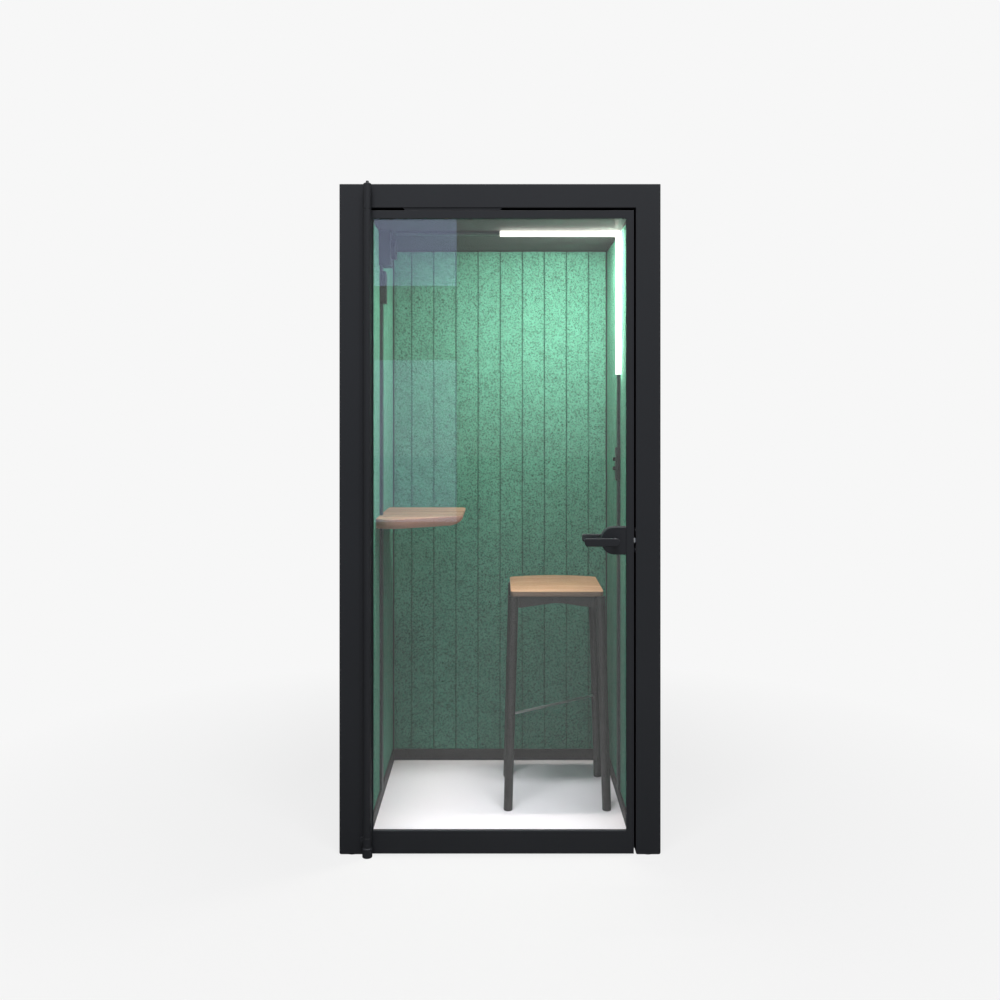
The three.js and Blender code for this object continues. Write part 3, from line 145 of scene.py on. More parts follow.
def pressed_felt(name, deep, mid, pale):
    """Needle-pressed polyester felt: matt and soft, a fine salt-and-pepper of pale and dark fibres, scattered dark
    flecks, broad clouds, a nap, and a tone a little darker towards the floor. Fibre tufts are 4 to 7 mm, flecks 3 to 7
    mm;
    the nap is under 1 mm in life and drawn at 2 mm."""
    made, tree, shader = new_material(name, Roughness=0.95, Specular_IOR_Level=0.05, Sheen_Weight=0.05, Sheen_Roughness=0.6)
    shader.inputs["Sheen Tint"].default_value = linear("#8CE6BE")
    where = add(tree, "ShaderNodeTexCoord").outputs["Object"]
    clouds = add(tree, "ShaderNodeTexNoise", {"Vector": where, "Scale": per_metre(45), "Detail": 3.0})
    tufts = add(tree, "ShaderNodeTexNoise", {"Vector": where, "Scale": per_metre(4.6), "Detail": 1.0, "Distortion": 0.4})
    bent = add(tree, "ShaderNodeVectorMath", {0: tufts.outputs["Color"], 1: [0.005] * 3, 2: where}, operation="MULTIPLY_ADD")
    flecks = add(tree, "ShaderNodeTexVoronoi", {"Vector": bent.outputs[0], "Scale": per_metre(13)})
    nap = add(tree, "ShaderNodeTexNoise", {"Vector": where, "Scale": per_metre(2), "Detail": 3.0})
    soft = add(tree, "ShaderNodeMapRange", {"Value": clouds.outputs["Fac"], 1: 0.35, 2: 0.65, 3: 0.65, 4: 1.0})
    body = blend_colours(tree, soft.outputs[0], mid, pale)
    strand = add(tree, "ShaderNodeMapRange", {"Value": tufts.outputs["Fac"], 1: 0.44, 2: 0.66, 3: 0.0, 4: 0.72})
    streaked = blend_colours(tree, strand.outputs[0], body, deep)
    size = add(tree, "ShaderNodeSeparateColor", {0: flecks.outputs["Color"]})
    grown = add(tree, "ShaderNodeMapRange", {"Value": size.outputs[0], 1: 0.52, 2: 1.0, 3: 0.0, 4: 0.31})
    inside = add(tree, "ShaderNodeMath", {0: grown.outputs[0], 1: flecks.outputs["Distance"]}, operation="SUBTRACT")
    dark_share = add(tree, "ShaderNodeMapRange", {"Value": inside.outputs[0], 1: 0.0, 2: 0.06, 3: 0.0, 4: 0.85})
    flecked = blend_colours(tree, dark_share.outputs[0], streaked, deep)
    fibre = add(tree, "ShaderNodeMapRange", {"Value": nap.outputs["Fac"], 1: 0.3, 2: 0.7, 3: 0.86, 4: 1.14})
    fibred = add(tree, "ShaderNodeMix", {0: 1.0, 6: flecked, 7: fibre.outputs[0]}, data_type="RGBA", blend_type="MULTIPLY")
    height = add(tree, "ShaderNodeSeparateXYZ", {0: where})
    # Darker towards the floor, from about 1.15 m down.
    darker_towards_floor = add(tree, "ShaderNodeMapRange", {"Value": height.outputs["Z"], 1: 0.15, 2: 1.15, 3: 0.3, 4: 0.0}, interpolation_type="SMOOTHSTEP")
    bump = add(tree, "ShaderNodeBump", {"Strength": 0.5, "Distance": 0.0008, "Height": nap.outputs["Fac"]})
    tree.links.new(blend_colours(tree, darker_towards_floor.outputs[0], fibred.outputs[2], deep), shader.inputs["Base Color"])
    tree.links.new(bump.outputs[0], shader.inputs["Normal"])
    return made


def sawn_wood(name, early, late, tan, pore, worn_and_highlit, along, roughness, side_shade=None, rub_and_highlight_mm=3.0):
    """Lacquered hardwood: growth bands a few millimetres wide drawn out along the board, a slow drift to tan, short
    dark pores, edges painted paler (partly rubbed lacquer, partly a painted highlight), and upright flanks in another
    tone as painted shade."""
    made, tree, shader = new_material(name, Specular_IOR_Level=0.4)
    where = add(tree, "ShaderNodeTexCoord")
    stretch = [1.0, 1.0, 1.0]
    stretch[along] = 0.05
    drawn = add(tree, "ShaderNodeMapping", {"Vector": where.outputs["Object"], "Scale": stretch}).outputs[0]
    bands = add(tree, "ShaderNodeTexNoise", {"Vector": drawn, "Scale": per_metre(14), "Detail": 4.0, "Distortion": 0.5})
    wide = add(tree, "ShaderNodeTexNoise", {"Vector": drawn, "Scale": per_metre(55), "Detail": 2.0})
    pores = add(tree, "ShaderNodeTexNoise", {"Vector": drawn, "Scale": per_metre(2.2), "Detail": 1.0})
    sum_of = add(tree, "ShaderNodeMath", {0: bands.outputs["Fac"], 1: wide.outputs["Fac"]}, operation="ADD")
    share = add(tree, "ShaderNodeMapRange", {"Value": sum_of.outputs[0], 1: 0.8, 2: 1.2})
    drift = add(tree, "ShaderNodeMapRange", {"Value": wide.outputs["Fac"], 1: 0.4, 2: 0.6, 3: 0.0, 4: 0.6})
    body = blend_colours(tree, drift.outputs[0], blend_colours(tree, share.outputs[0], early, late), tan)
    open_grain = add(tree, "ShaderNodeMapRange", {"Value": pores.outputs["Fac"], 1: 0.58, 2: 0.7, 3: 0.0, 4: 0.75})
    grain = blend_colours(tree, open_grain.outputs[0], body, pore)
    # Upright faces take another tone: painted shade for how light falls on the sides.
    if side_shade:
        facing = add(tree, "ShaderNodeSeparateXYZ", {0: where.outputs["Normal"]})
        side_shade_share = add(tree, "ShaderNodeMapRange", {"Value": facing.outputs["Z"], 1: 0.3, 2: 0.75, 3: 0.75, 4: 0.0})
        grain = blend_colours(tree, side_shade_share.outputs[0], grain, side_shade)
    rough = add(tree, "ShaderNodeMapRange", {"Value": share.outputs[0], 3: roughness - 0.06, 4: roughness + 0.06})
    bump = add(tree, "ShaderNodeBump", {"Strength": 0.15, "Distance": 0.0003, "Height": pores.outputs["Fac"]}, invert=True)
    # Paler edges: partly rubbed lacquer, partly a painted highlight along the edge.
    rubbed_and_highlit = add(tree, "ShaderNodeMath", {0: worn_and_highlit_edges(tree, rub_and_highlight_mm, 0.8, 0.99), 1: wide.outputs["Fac"]}, operation="MULTIPLY")
    tree.links.new(blend_colours(tree, rubbed_and_highlit.outputs[0], grain, worn_and_highlit), shader.inputs["Base Color"])
    tree.links.new(rough.outputs[0], shader.inputs["Roughness"])
    tree.links.new(bump.outputs[0], shader.inputs["Normal"])
    return made


def brushed_metal(name, dark, light, along, roughness):
    """Brushed or anodised metal: fine lines along the bar break up the highlight."""
    made, tree, shader = new_material(name, Metallic=1.0)
    where = add(tree, "ShaderNodeTexCoord").outputs["Object"]
    stretch = [1.0, 1.0, 1.0]
    stretch[along] = 0.02
    drawn = add(tree, "ShaderNodeMapping", {"Vector": where, "Scale": stretch}).outputs[0]
    lines = add(tree, "ShaderNodeTexNoise", {"Vector": drawn, "Scale": per_metre(1.4), "Detail": 3.0})
    tone = blend_colours(tree, lines.outputs["Fac"], dark, light)
    rough = add(tree, "ShaderNodeMapRange", {"Value": lines.outputs["Fac"], 3: roughness - 0.1, 4: roughness + 0.1})
    bump = add(tree, "ShaderNodeBump", {"Strength": 0.1, "Distance": 0.0002, "Height": lines.outputs["Fac"]})
    tree.links.new(tone, shader.inputs["Base Color"])
    tree.links.new(rough.outputs[0], shader.inputs["Roughness"])
    tree.links.new(bump.outputs[0], shader.inputs["Normal"])
    return made


def moulded(name, dark, light, grain_mm, roughness, depth):
    """Moulded plastic or rubber: an eroded grain from the tool, and a faint cloudiness of tone."""
    made, tree, shader = new_material(name, Specular_IOR_Level=0.4)
    where = add(tree, "ShaderNodeTexCoord").outputs["Object"]
    cloud = add(tree, "ShaderNodeTexNoise", {"Vector": where, "Scale": per_metre(45), "Detail": 3.0})
    grain = add(tree, "ShaderNodeTexVoronoi", {"Vector": where, "Scale": per_metre(grain_mm)}, feature="SMOOTH_F1")
    tone = blend_colours(tree, cloud.outputs["Fac"], dark, light)
    rough = add(tree, "ShaderNodeMapRange", {"Value": grain.outputs["Distance"], 3: roughness - 0.08, 4: roughness + 0.08})
    bump = add(tree, "ShaderNodeBump", {"Strength": 0.2, "Distance": depth * MM, "Height": grain.outputs["Distance"]})
    tree.links.new(tone, shader.inputs["Base Color"])
    tree.links.new(rough.outputs[0], shader.inputs["Roughness"])
    tree.links.new(bump.outputs[0], shader.inputs["Normal"])
    return made


def white_laminate():
    """High-pressure laminate on the floor board: white, low sheen, with a soft pearl texture."""
    made, tree, shader = new_material("white_laminate", Specular_IOR_Level=0.4)
    where = add(tree, "ShaderNodeTexCoord").outputs["Object"]
    pearl = add(tree, "ShaderNodeTexNoise", {"Vector": where, "Scale": per_metre(3), "Detail": 2.0})
    wear = add(tree, "ShaderNodeTexNoise", {"Vector": where, "Scale": per_metre(180), "Detail": 4.0})
    tone = blend_colours(tree, wear.outputs["Fac"], "#F8EFF8", "#FEF6FF")
    rough = add(tree, "ShaderNodeMapRange", {"Value": pearl.outputs["Fac"], 3: 0.28, 4: 0.42})
    bump = add(tree, "ShaderNodeBump", {"Strength": 0.04, "Distance": 0.0002, "Height": pearl.outputs["Fac"]})
    tree.links.new(tone, shader.inputs["Base Color"])
    tree.links.new(rough.outputs[0], shader.inputs["Roughness"])
    tree.links.new(bump.outputs[0], shader.inputs["Normal"])
    return made


def safety_glass():
    """Laminated float glass: clear with a slight green cast. Lamps shine straight through it."""
    made, tree, shader = new_material("safety_glass", Roughness=0.0, IOR=1.5, Transmission_Weight=1.0)
    shader.inputs["Base Color"].default_value = linear("#F8FAF9")
    path = add(tree, "ShaderNodeLightPath")
    clear = add(tree, "ShaderNodeBsdfTransparent", {"Color": linear("#F8FAF9")})
    passes = add(tree, "ShaderNodeMixShader", {0: path.outputs["Is Shadow Ray"], 1: shader.outputs[0], 2: clear.outputs[0]})
    tree.links.new(passes.outputs[0], tree.nodes["Material Output"].inputs["Surface"])
    return made


def opal_acrylic(strength):
    """Extruded opal acrylic over the light strips: an even warm-white glow, a little denser here and there."""
    made, tree, shader = new_material("opal_acrylic", Roughness=0.35, Emission_Strength=strength)
    shader.inputs["Emission Color"].default_value = linear("#FFFAF0")
    where = add(tree, "ShaderNodeTexCoord").outputs["Object"]
    cloud = add(tree, "ShaderNodeTexNoise", {"Vector": where, "Scale": per_metre(30), "Detail": 2.0})
    tree.links.new(blend_colours(tree, cloud.outputs["Fac"], "#F2EFE8", "#FBF9F3"), shader.inputs["Base Color"])
    return made


CHARCOAL = powder_coat("charcoal_powder_coat", "#1F2126", "#26282D", "#3A3C41")
SKIRTING = powder_coat("dark_skirting_lacquer", "#282527", "#2F2C2E", "#454143", 0.65, 0.3)
CEILING = powder_coat("dark_ceiling_paint", "#2E3030", "#363838", "#4A4E4E", 0.8, 0.1, 0.1)
FELT = pressed_felt("green_pressed_felt", "#203B32", "#426E5F", "#599582")
# On the two oaks the fifth colour is the paler edge (rubbed lacquer with a painted highlight) and the last is painted
# shade on the upright sides.
OAK = sawn_wood("lacquered_oak", "#C1967A", "#A1765F", "#AE8C6C", "#755745", "#E2C8B2", 0, 0.42, "#534841")
TABLE_OAK = sawn_wood("lacquered_table_oak", "#B48B72", "#96705D", "#9A7D6A", "#6D5143", "#D9C1B0", 0, 0.42, "#B38577")
STAINED = sawn_wood("dark_stained_beech", "#2C2A2A", "#232122", "#282524", "#171617", "#4A4543", 2, 0.5, rub_and_highlight_mm=1.0)
STEEL = brushed_metal("brushed_steel", "#8E9093", "#B4B6B8", 2, 0.32)
BOLT = brushed_metal("polished_nickel", "#D9DADB", "#F1F1F2", 0, 0.25)
BRACE = brushed_metal("satin_steel_rod", "#B9BABB", "#D6D7D8", 0, 0.5)
ZINC = brushed_metal("zinc_plated_steel", "#7E8285", "#A3A6A8", 0, 0.38)
RAIL = brushed_metal("dark_anodised_aluminium", "#3F4144", "#55585C", 2, 0.42)
ABS = moulded("black_abs", "#1E1F21", "#27282B", 1.6, 0.5, 0.15)
MARK = moulded("pale_marking_paint", "#C9CAC8", "#DEDFDD", 1.2, 0.55, 0.05)
RUBBER = moulded("black_epdm_rubber", "#121314", "#1A1B1C", 2.2, 0.75, 0.1)
WOOL = moulded("grey_acoustic_wool", "#8A8C88", "#A4A6A2", 6.0, 0.95, 1.0)
FLOOR = white_laminate()
GLASS = safety_glass()
OPAL = opal_acrylic(2.4)

FINISHES = {
    "powder_coat": CHARCOAL,
    "felt": FELT,
    "wool_core": WOOL,
    "ceiling_paint": CEILING,
    "floor_laminate": FLOOR,
    "door_pane": GLASS,
    "black_rubber": RUBBER,
    "bright_steel": STEEL,
    "dark_plastic": ABS,
    "rail_aluminium": RAIL,
    "opal_cover": OPAL,
    "oak": OAK,
    "stained_wood": STAINED,
}

OWN_FINISHES = {"skirting_left": SKIRTING, "skirting_right": SKIRTING, "skirting_back": SKIRTING, "stool_brace": BRACE, "latch_bolt": BOLT}

for part in frame["record"]["subparts"]:
    finish = OWN_FINISHES.get(part["node"], FINISHES[part["material_slot"]])
    nodes[part["node"]].data.materials.clear()
    nodes[part["node"]].data.materials.append(finish)


# Mesh making


def settled(mesh):
    """The mesh with its normals weighted by face size, so that flat faces stay flat beside rounded edges."""
    helper = bpy.data.objects.new("settling", mesh)
    bpy.context.scene.collection.objects.link(helper)
    weighing = helper.modifiers.new("settling", "WEIGHTED_NORMAL")
    weighing.weight = 100
    weighing.keep_sharp = True
    made = bpy.data.meshes.new_from_object(helper.evaluated_get(bpy.context.evaluated_depsgraph_get()))
    bpy.data.objects.remove(helper)
    return made


def place_piece(name, mesh, finish, body, stands_for=(), smooth=35):
    """A finished mesh as a piece that rides on a body, smooth except across its edges."""
    mesh.materials.clear()
    mesh.materials.append(finish)
    mesh.shade_smooth()
    mesh.set_sharp_from_angle(angle=math.radians(smooth))
    piece = bpy.data.objects.new(name, settled(mesh))
    bpy.context.scene.collection.objects.link(piece)
    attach(piece, body)
    if stands_for:
        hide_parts(*stands_for)
    return piece


def to_mesh(name, shape):
    """A bmesh with its doubles merged and its faces turned outwards, as a mesh."""
    bmesh.ops.remove_doubles(shape, verts=shape.verts, dist=1e-6)
    bmesh.ops.recalc_face_normals(shape, faces=shape.faces)
    mesh = bpy.data.meshes.new(name)
    shape.to_mesh(mesh)
    shape.free()
    return mesh


def eased(mesh, width, segments=3, angle=30):
    """The mesh with its sharp edges rounded."""
    helper = bpy.data.objects.new("easing", mesh)
    bpy.context.scene.collection.objects.link(helper)
    rounding = helper.modifiers.new("easing", "BEVEL")
    rounding.width = width
    rounding.segments = segments
    rounding.limit_method = "ANGLE"
    rounding.angle_limit = math.radians(angle)
    made = bpy.data.meshes.new_from_object(helper.evaluated_get(bpy.context.evaluated_depsgraph_get()))
    bpy.data.objects.remove(helper)
    return made


def prism(loops, span, turn):
    """A solid with the first loop as its outline and the others as holes, swept over a span and turned into place."""
    shape = bmesh.new()
    rings = []
    for level in span:
        edges = []
        made = []
        for loop in loops:
            ring = [shape.verts.new((x, y, level)) for x, y in loop]
            edges += [shape.edges.new((ring[i - 1], ring[i])) for i in range(len(ring))]
            made.append(ring)
        if len(loops) == 1:
            shape.faces.new(made[0])
        else:
            bmesh.ops.triangle_fill(shape, edges=edges, use_beauty=True)
        rings.append(made)
    for low, high in zip(*rings):
        for i in range(len(low)):
            shape.faces.new((low[i - 1], low[i], high[i], high[i - 1]))
    bmesh.ops.transform(shape, matrix=turn, verts=shape.verts)
    return shape


def loft(rings):
    """A closed solid through rings of points, its first and last ring closed by a fan."""
    shape = bmesh.new()
    made = [[shape.verts.new(point) for point in ring] for ring in rings]
    for low, high in zip(made, made[1:]):
        for i in range(len(low)):
            shape.faces.new((low[i - 1], low[i], high[i], high[i - 1]))
    shape.faces.new(made[0])
    shape.faces.new(made[-1])
    return shape


def arc(centre, radius, start, end, steps):
    """Points along an arc, angles in degrees."""
    angles = [math.radians(start + (end - start) * i / steps) for i in range(steps + 1)]
    return [(centre[0] + radius * math.cos(a), centre[1] + radius * math.sin(a)) for a in angles]


def rounded(corners, steps=8):
    """An outline through corners (x, y, radius) with true arcs."""
    points = []
    for i, (x, y, radius) in enumerate(corners):
        here = Vector((x, y))
        before = (Vector(corners[i - 1][:2]) - here).normalized()
        after = (Vector(corners[(i + 1) % len(corners)][:2]) - here).normalized()
        if radius == 0:
            points.append((x, y))
            continue
        half = before.angle(after) / 2
        middle = here + (before + after).normalized() * (radius / math.sin(half))
        first = here + before * (radius / math.tan(half)) - middle
        last = here + after * (radius / math.tan(half)) - middle
        sweep = first.angle_signed(last)
        for k in range(steps + 1):
            points.append(tuple(middle + Matrix.Rotation(-sweep * k / steps, 2) @ first))
    return points


def joined(name, meshes):
    """Several meshes as one."""
    shape = bmesh.new()
    for mesh in meshes:
        shape.from_mesh(mesh)
    return to_mesh(name, shape)


def lathe(profile, axis):
    """A solid turned about an upright axis from (radius, height) points."""
    return loft([[(axis.x + x, axis.y + y, z) for x, y in arc((0, 0), radius, 0, 352.5, 47)] for radius, z in profile])


def with_ways(mesh, ways):
    """The mesh with ways cut out of it, each given by a solid mesh."""
    helper = bpy.data.objects.new("cutting", mesh)
    bpy.context.scene.collection.objects.link(helper)
    cutters = []
    for each in ways:
        cutters.append(bpy.data.objects.new("cutter", each))
        bpy.context.scene.collection.objects.link(cutters[-1])
        way = helper.modifiers.new("cutting", "BOOLEAN")
        way.object = cutters[-1]
        way.operation = "DIFFERENCE"
        way.solver = "EXACT"
    made = bpy.data.meshes.new_from_object(helper.evaluated_get(bpy.context.evaluated_depsgraph_get()))
    for each in [helper] + cutters:
        bpy.data.objects.remove(each)
    return made


# How a profile drawn in two directions is turned: along X it is (depth, height), along Y (across, height)
ALONG_X = Matrix(((0, 0, 1, 0), (1, 0, 0, 0), (0, 1, 0, 0), (0, 0, 0, 1)))
ALONG_Y = Matrix(((1, 0, 0, 0), (0, 0, 1, 0), (0, 1, 0, 0), (0, 0, 0, 1)))
ALONG_Z = Matrix.Identity(4)


# Felt lining: upright planks in a row, made by rule


def plank_tree():
    """Planks with rounded long edges stand side by side along X on a felt backing, with a narrower one at each end."""
    tree = bpy.data.node_groups.new("felt_planks", "GeometryNodeTree")
    sizes = ("Height", "Thickness", "Groove", "Facing", "Pitch", "Gap", "Rounding", "First", "Last")
    for name in sizes:
        tree.interface.new_socket(name, in_out="INPUT", socket_type="NodeSocketFloat")
    tree.interface.new_socket("Count", in_out="INPUT", socket_type="NodeSocketInt")
    tree.interface.new_socket("Finish", in_out="INPUT", socket_type="NodeSocketMaterial")
    tree.interface.new_socket("Geometry", in_out="OUTPUT", socket_type="NodeSocketGeometry")
    size = add(tree, "NodeGroupInput").outputs
    half_groove = add(tree, "ShaderNodeMath", {0: size["Groove"], 1: 0.5}, operation="MULTIPLY")
    backing = add(tree, "ShaderNodeMath", {0: size["Thickness"], 1: size["Groove"]}, operation="SUBTRACT")
    half_backing = add(tree, "ShaderNodeMath", {0: backing.outputs[0], 1: 0.5}, operation="MULTIPLY")
    forward = add(tree, "ShaderNodeMath", {0: half_backing.outputs[0], 1: size["Facing"]}, operation="MULTIPLY")
    backward = add(tree, "ShaderNodeMath", {0: half_groove.outputs[0], 1: size["Facing"]}, operation="MULTIPLY")

    def plank(width, offset):
        clear = add(tree, "ShaderNodeMath", {0: width, 1: size["Gap"]}, operation="SUBTRACT")
        section = add(tree, "GeometryNodeCurvePrimitiveQuadrilateral", {"Width": clear.outputs[0], "Height": size["Groove"]})
        soft = add(tree, "GeometryNodeFilletCurve", {"Curve": section.outputs[0], "Count": 3, "Radius": size["Rounding"]}, mode="POLY")
        top = add(tree, "ShaderNodeCombineXYZ", {"Z": size["Height"]})
        line = add(tree, "GeometryNodeCurvePrimitiveLine", {"End": top.outputs[0]})
        board = add(tree, "GeometryNodeCurveToMesh", {"Curve": line.outputs[0], "Profile Curve": soft.outputs[0], "Fill Caps": True})
        half = add(tree, "ShaderNodeMath", {0: width, 1: 0.5, 2: offset}, operation="MULTIPLY_ADD")
        shift = add(tree, "ShaderNodeCombineXYZ", {"X": half.outputs[0], "Y": forward.outputs[0]})
        return add(tree, "GeometryNodeTransform", {"Geometry": board.outputs[0], "Translation": shift.outputs[0]}).outputs[0]

    step = add(tree, "ShaderNodeCombineXYZ", {"X": size["Pitch"]})
    start = add(tree, "ShaderNodeCombineXYZ", {"X": size["First"]})
    row = add(tree, "GeometryNodeMeshLine", {"Count": size["Count"], "Start Location": start.outputs[0], "Offset": step.outputs[0]})
    middle = add(tree, "GeometryNodeInstanceOnPoints", {"Points": row.outputs[0], "Instance": plank(size["Pitch"], 0.0)})
    end = add(tree, "ShaderNodeMath", {0: size["Count"], 1: size["Pitch"], 2: size["First"]}, operation="MULTIPLY_ADD")
    whole_length = add(tree, "ShaderNodeMath", {0: end.outputs[0], 1: size["Last"]}, operation="ADD")
    extent = add(tree, "ShaderNodeCombineXYZ", {"X": whole_length.outputs[0], "Y": backing.outputs[0], "Z": size["Height"]})
    sheet = add(tree, "GeometryNodeMeshCube", {"Size": extent.outputs[0]})
    behind = add(tree, "ShaderNodeCombineXYZ", {"Y": backward.outputs[0]})
    centre = add(tree, "ShaderNodeVectorMath", {0: extent.outputs[0], 1: [0.5, 0.0, 0.5]}, operation="MULTIPLY")
    place = add(tree, "ShaderNodeVectorMath", {0: centre.outputs[0], 1: behind.outputs[0]}, operation="SUBTRACT")
    back_sheet = add(tree, "GeometryNodeTransform", {"Geometry": sheet.outputs[0], "Translation": place.outputs[0]})
    join = add(tree, "GeometryNodeJoinGeometry")
    for part in (
        plank(size["First"], 0.0), middle.outputs[0], plank(size["Last"], end.outputs[0]), back_sheet.outputs[0],
    ):
        tree.links.new(part, join.inputs[0])
    whole = add(tree, "GeometryNodeRealizeInstances", {"Geometry": join.outputs[0]})
    dressed = add(tree, "GeometryNodeSetMaterial", {"Geometry": whole.outputs[0], "Material": size["Finish"]})
    add(tree, "NodeGroupOutput", {"Geometry": dressed.outputs[0]})
    return tree


def run_tree(tree, values, points=None):
    """The plain mesh that a geometry tree makes from its named inputs, on the given points if it needs them."""
    helper = bpy.data.objects.new("maker", points or bpy.data.meshes.new("maker"))
    bpy.context.scene.collection.objects.link(helper)
    maker = helper.modifiers.new("maker", "NODES")
    maker.node_group = tree
    for item in tree.interface.items_tree:
        if item.in_out == "INPUT" and item.name in values:
            maker[item.identifier] = values[item.name]
    made = bpy.data.meshes.new_from_object(helper.evaluated_get(bpy.context.evaluated_depsgraph_get()))
    bpy.data.objects.remove(helper)
    return made


PLANKS = plank_tree()
PITCH = 86.8 * MM
EDGE_PLANK = 73 * MM


def felt_wall(name, length, first, last, count, turn, facing):
    low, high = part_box(name)
    mesh = run_tree(PLANKS, {
        "Height": high.z - low.z,
        "Thickness": min(high.x - low.x, high.y - low.y),
        "Groove": 14 * MM,
        "Facing": facing,
        "Pitch": PITCH,
        "Gap": 3.0 * MM,
        "Rounding": 2.0 * MM,
        "First": first,
        "Last": last,
        "Count": count,
        "Finish": FELT,
    })
    mesh.transform(turn)
    mesh.transform(Matrix.Translation(Vector(((low.x + high.x) / 2, (low.y + high.y) / 2, low.z)) - turn @ Vector((length / 2, 0, 0))))
    return place_piece(name + "_planks", mesh, FELT, "cabin", [name], 50)


back_low, back_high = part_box("felt_back")
edge = (back_high.x - back_low.x - 8 * PITCH) / 2
felt_wall("felt_back", back_high.x - back_low.x, edge, edge, 8, Matrix.Identity(4), -1.0)
for wall, facing in (("felt_left", -1.0), ("felt_right", 1.0)):
    low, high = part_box(wall)
    first_seam = back_low.y - EDGE_PLANK - 8 * PITCH
    felt_wall(wall, high.y - low.y, first_seam - low.y, high.y - first_seam - 8 * PITCH, 8, Matrix.Rotation(math.pi / 2, 4, "Z"), facing)


# Front frame: stiles and header welded and coated as one, with a recess for the strike and a pocket for the bolt


def grown(box, by, travel=0.0):
    """A node's box with room on every side and for its travel to the left, as a solid to cut with."""
    low, high = box[0] - Vector((by + travel, by, by)), box[1] + Vector((by, by, by))
    shape = bmesh.new()
    place = Matrix.Translation((low + high) / 2) @ Matrix.Diagonal((*(high - low), 1))
    bmesh.ops.create_cube(shape, size=1, matrix=place)
    return to_mesh("way", shape)


left_low, left_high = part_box("front_stile_left")
right_low, right_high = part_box("front_stile_right")
head_low, head_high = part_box("front_header")
bolt_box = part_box("latch_bolt")
STILE_CORNER = 6 * MM
front = prism([rounded([
    (left_low.x, left_low.z, STILE_CORNER),
    (left_high.x, left_low.z, STILE_CORNER),
    (left_high.x, head_low.z, 0),
    (right_low.x, head_low.z, 0),
    (right_low.x, right_low.z, STILE_CORNER),
    (right_high.x, right_low.z, STILE_CORNER),
    (right_high.x, right_high.z, 0),
    (left_low.x, left_high.z, 0),
], 6)], (left_low.y, left_high.y), ALONG_Y)
front_ways = [grown(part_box("strike_plate"), 0.3 * MM), grown(bolt_box, 1 * MM)]
front_mesh = with_ways(eased(to_mesh("front_frame", front), 2 * MM, 3, 40), front_ways)
place_piece("front_frame", front_mesh, CHARCOAL, "cabin", ["front_stile_left", "front_stile_right", "front_header"])


# Door leaf: one frame of L section, its lip in front of the pane, a way through its lock side for the bolt


leaf_low, leaf_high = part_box("door_stile_hinge")[0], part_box("door_stile_lock")[1]
pane_left, pane_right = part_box("door_stile_hinge")[1].x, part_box("door_stile_lock")[0].x
pane_low, pane_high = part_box("door_rail_bottom")[1].z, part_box("door_rail_top")[0].z
LIP = 6 * MM
REBATE = 8.5 * MM


def leaf_ring(out, depth):
    """A rectangle round the pane, this far outside its visible edge."""
    x0, x1, z0, z1 = pane_left - out, pane_right + out, pane_low - out, pane_high + out
    return [(x0, depth, z0), (x1, depth, z0), (x1, depth, z1), (x0, depth, z1)]


def leaf_rim(depth):
    x0, x1, z0, z1 = leaf_low.x, leaf_high.x, leaf_low.z, leaf_high.z
    return [(x0, depth, z0), (x1, depth, z0), (x1, depth, z1), (x0, depth, z1)]


lip_back = leaf_low.y + LIP
section = [
    leaf_rim(leaf_low.y), leaf_ring(0, leaf_low.y), leaf_ring(0, lip_back),
    leaf_ring(REBATE, lip_back), leaf_ring(REBATE, leaf_high.y), leaf_rim(leaf_high.y),
]
leaf = bmesh.new()
rings = [[leaf.verts.new(point) for point in ring] for ring in section]
for k in range(len(rings)):
    for i in range(4):
        leaf.faces.new((rings[k - 1][i - 1], rings[k - 1][i], rings[k][i], rings[k][i - 1]))
leaf_mesh = with_ways(eased(to_mesh("door_leaf_frame", leaf), 1.2 * MM, 3, 40), [grown(bolt_box, 0.5 * MM)])
LEAF_BARS = ["door_stile_hinge", "door_stile_lock", "door_rail_top", "door_rail_bottom"]
place_piece("door_leaf_frame", leaf_mesh, CHARCOAL, "door", LEAF_BARS)


# Full-height hinge: round tube with its neck, the top pivot with its finial, the bottom pivot with its foot and lug


def hinge_outline(radius, half_neck, reach, steps):
    spread = math.degrees(math.asin(half_neck / radius))
    return arc((0, 0), radius, 90 + spread, 450 - spread, steps) + [(half_neck, reach), (-half_neck, reach)]


tube_low, tube_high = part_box("hinge_tube")
tube_radius = (tube_high.x - tube_low.x) / 2
hinge_axis = Vector(((tube_low.x + tube_high.x) / 2, tube_low.y + tube_radius, 0))
neck_reach = tube_high.y - hinge_axis.y
on_axis = Matrix.Translation(hinge_axis)
knuckle_face = hinge_outline(tube_radius, 4.5 * MM, neck_reach, 60)
KNUCKLE_GAP = 0.6 * MM
KNUCKLE_TOP = 4 * MM
tube_bore = arc((0, 0), 8 * MM, 0, 352.5, 47)
tube = eased(to_mesh("hinge_tube_round", prism([knuckle_face, tube_bore], (tube_low.z, tube_high.z), on_axis)), 0.6 * MM, 2, 50)
place_piece("hinge_tube_round", tube, CHARCOAL, "door", ["hinge_tube"])

knuckle_end = head_high.z - KNUCKLE_TOP
knuckle = prism([knuckle_face], (tube_high.z + KNUCKLE_GAP, knuckle_end), on_axis)
CAP_PROFILE = ((11.6, -0.5), (12.2, 0.3), (12.2, 0.9), (11.6, 1.5), (5.2, 5.2), (4.5, 6.2), (4.5, 8.6), (3.9, 9.8), (2.4, 10.5))
cap = lathe([(radius * MM, knuckle_end + rise * MM) for radius, rise in CAP_PROFILE], hinge_axis)
top_parts = [eased(to_mesh("hinge_knuckle", knuckle), 0.6 * MM, 2, 50), to_mesh("hinge_cap", cap)]
place_piece("hinge_pivot_top_turned", joined("hinge_pivot_top_turned", top_parts), CHARCOAL, "cabin", ["hinge_pivot_top"])

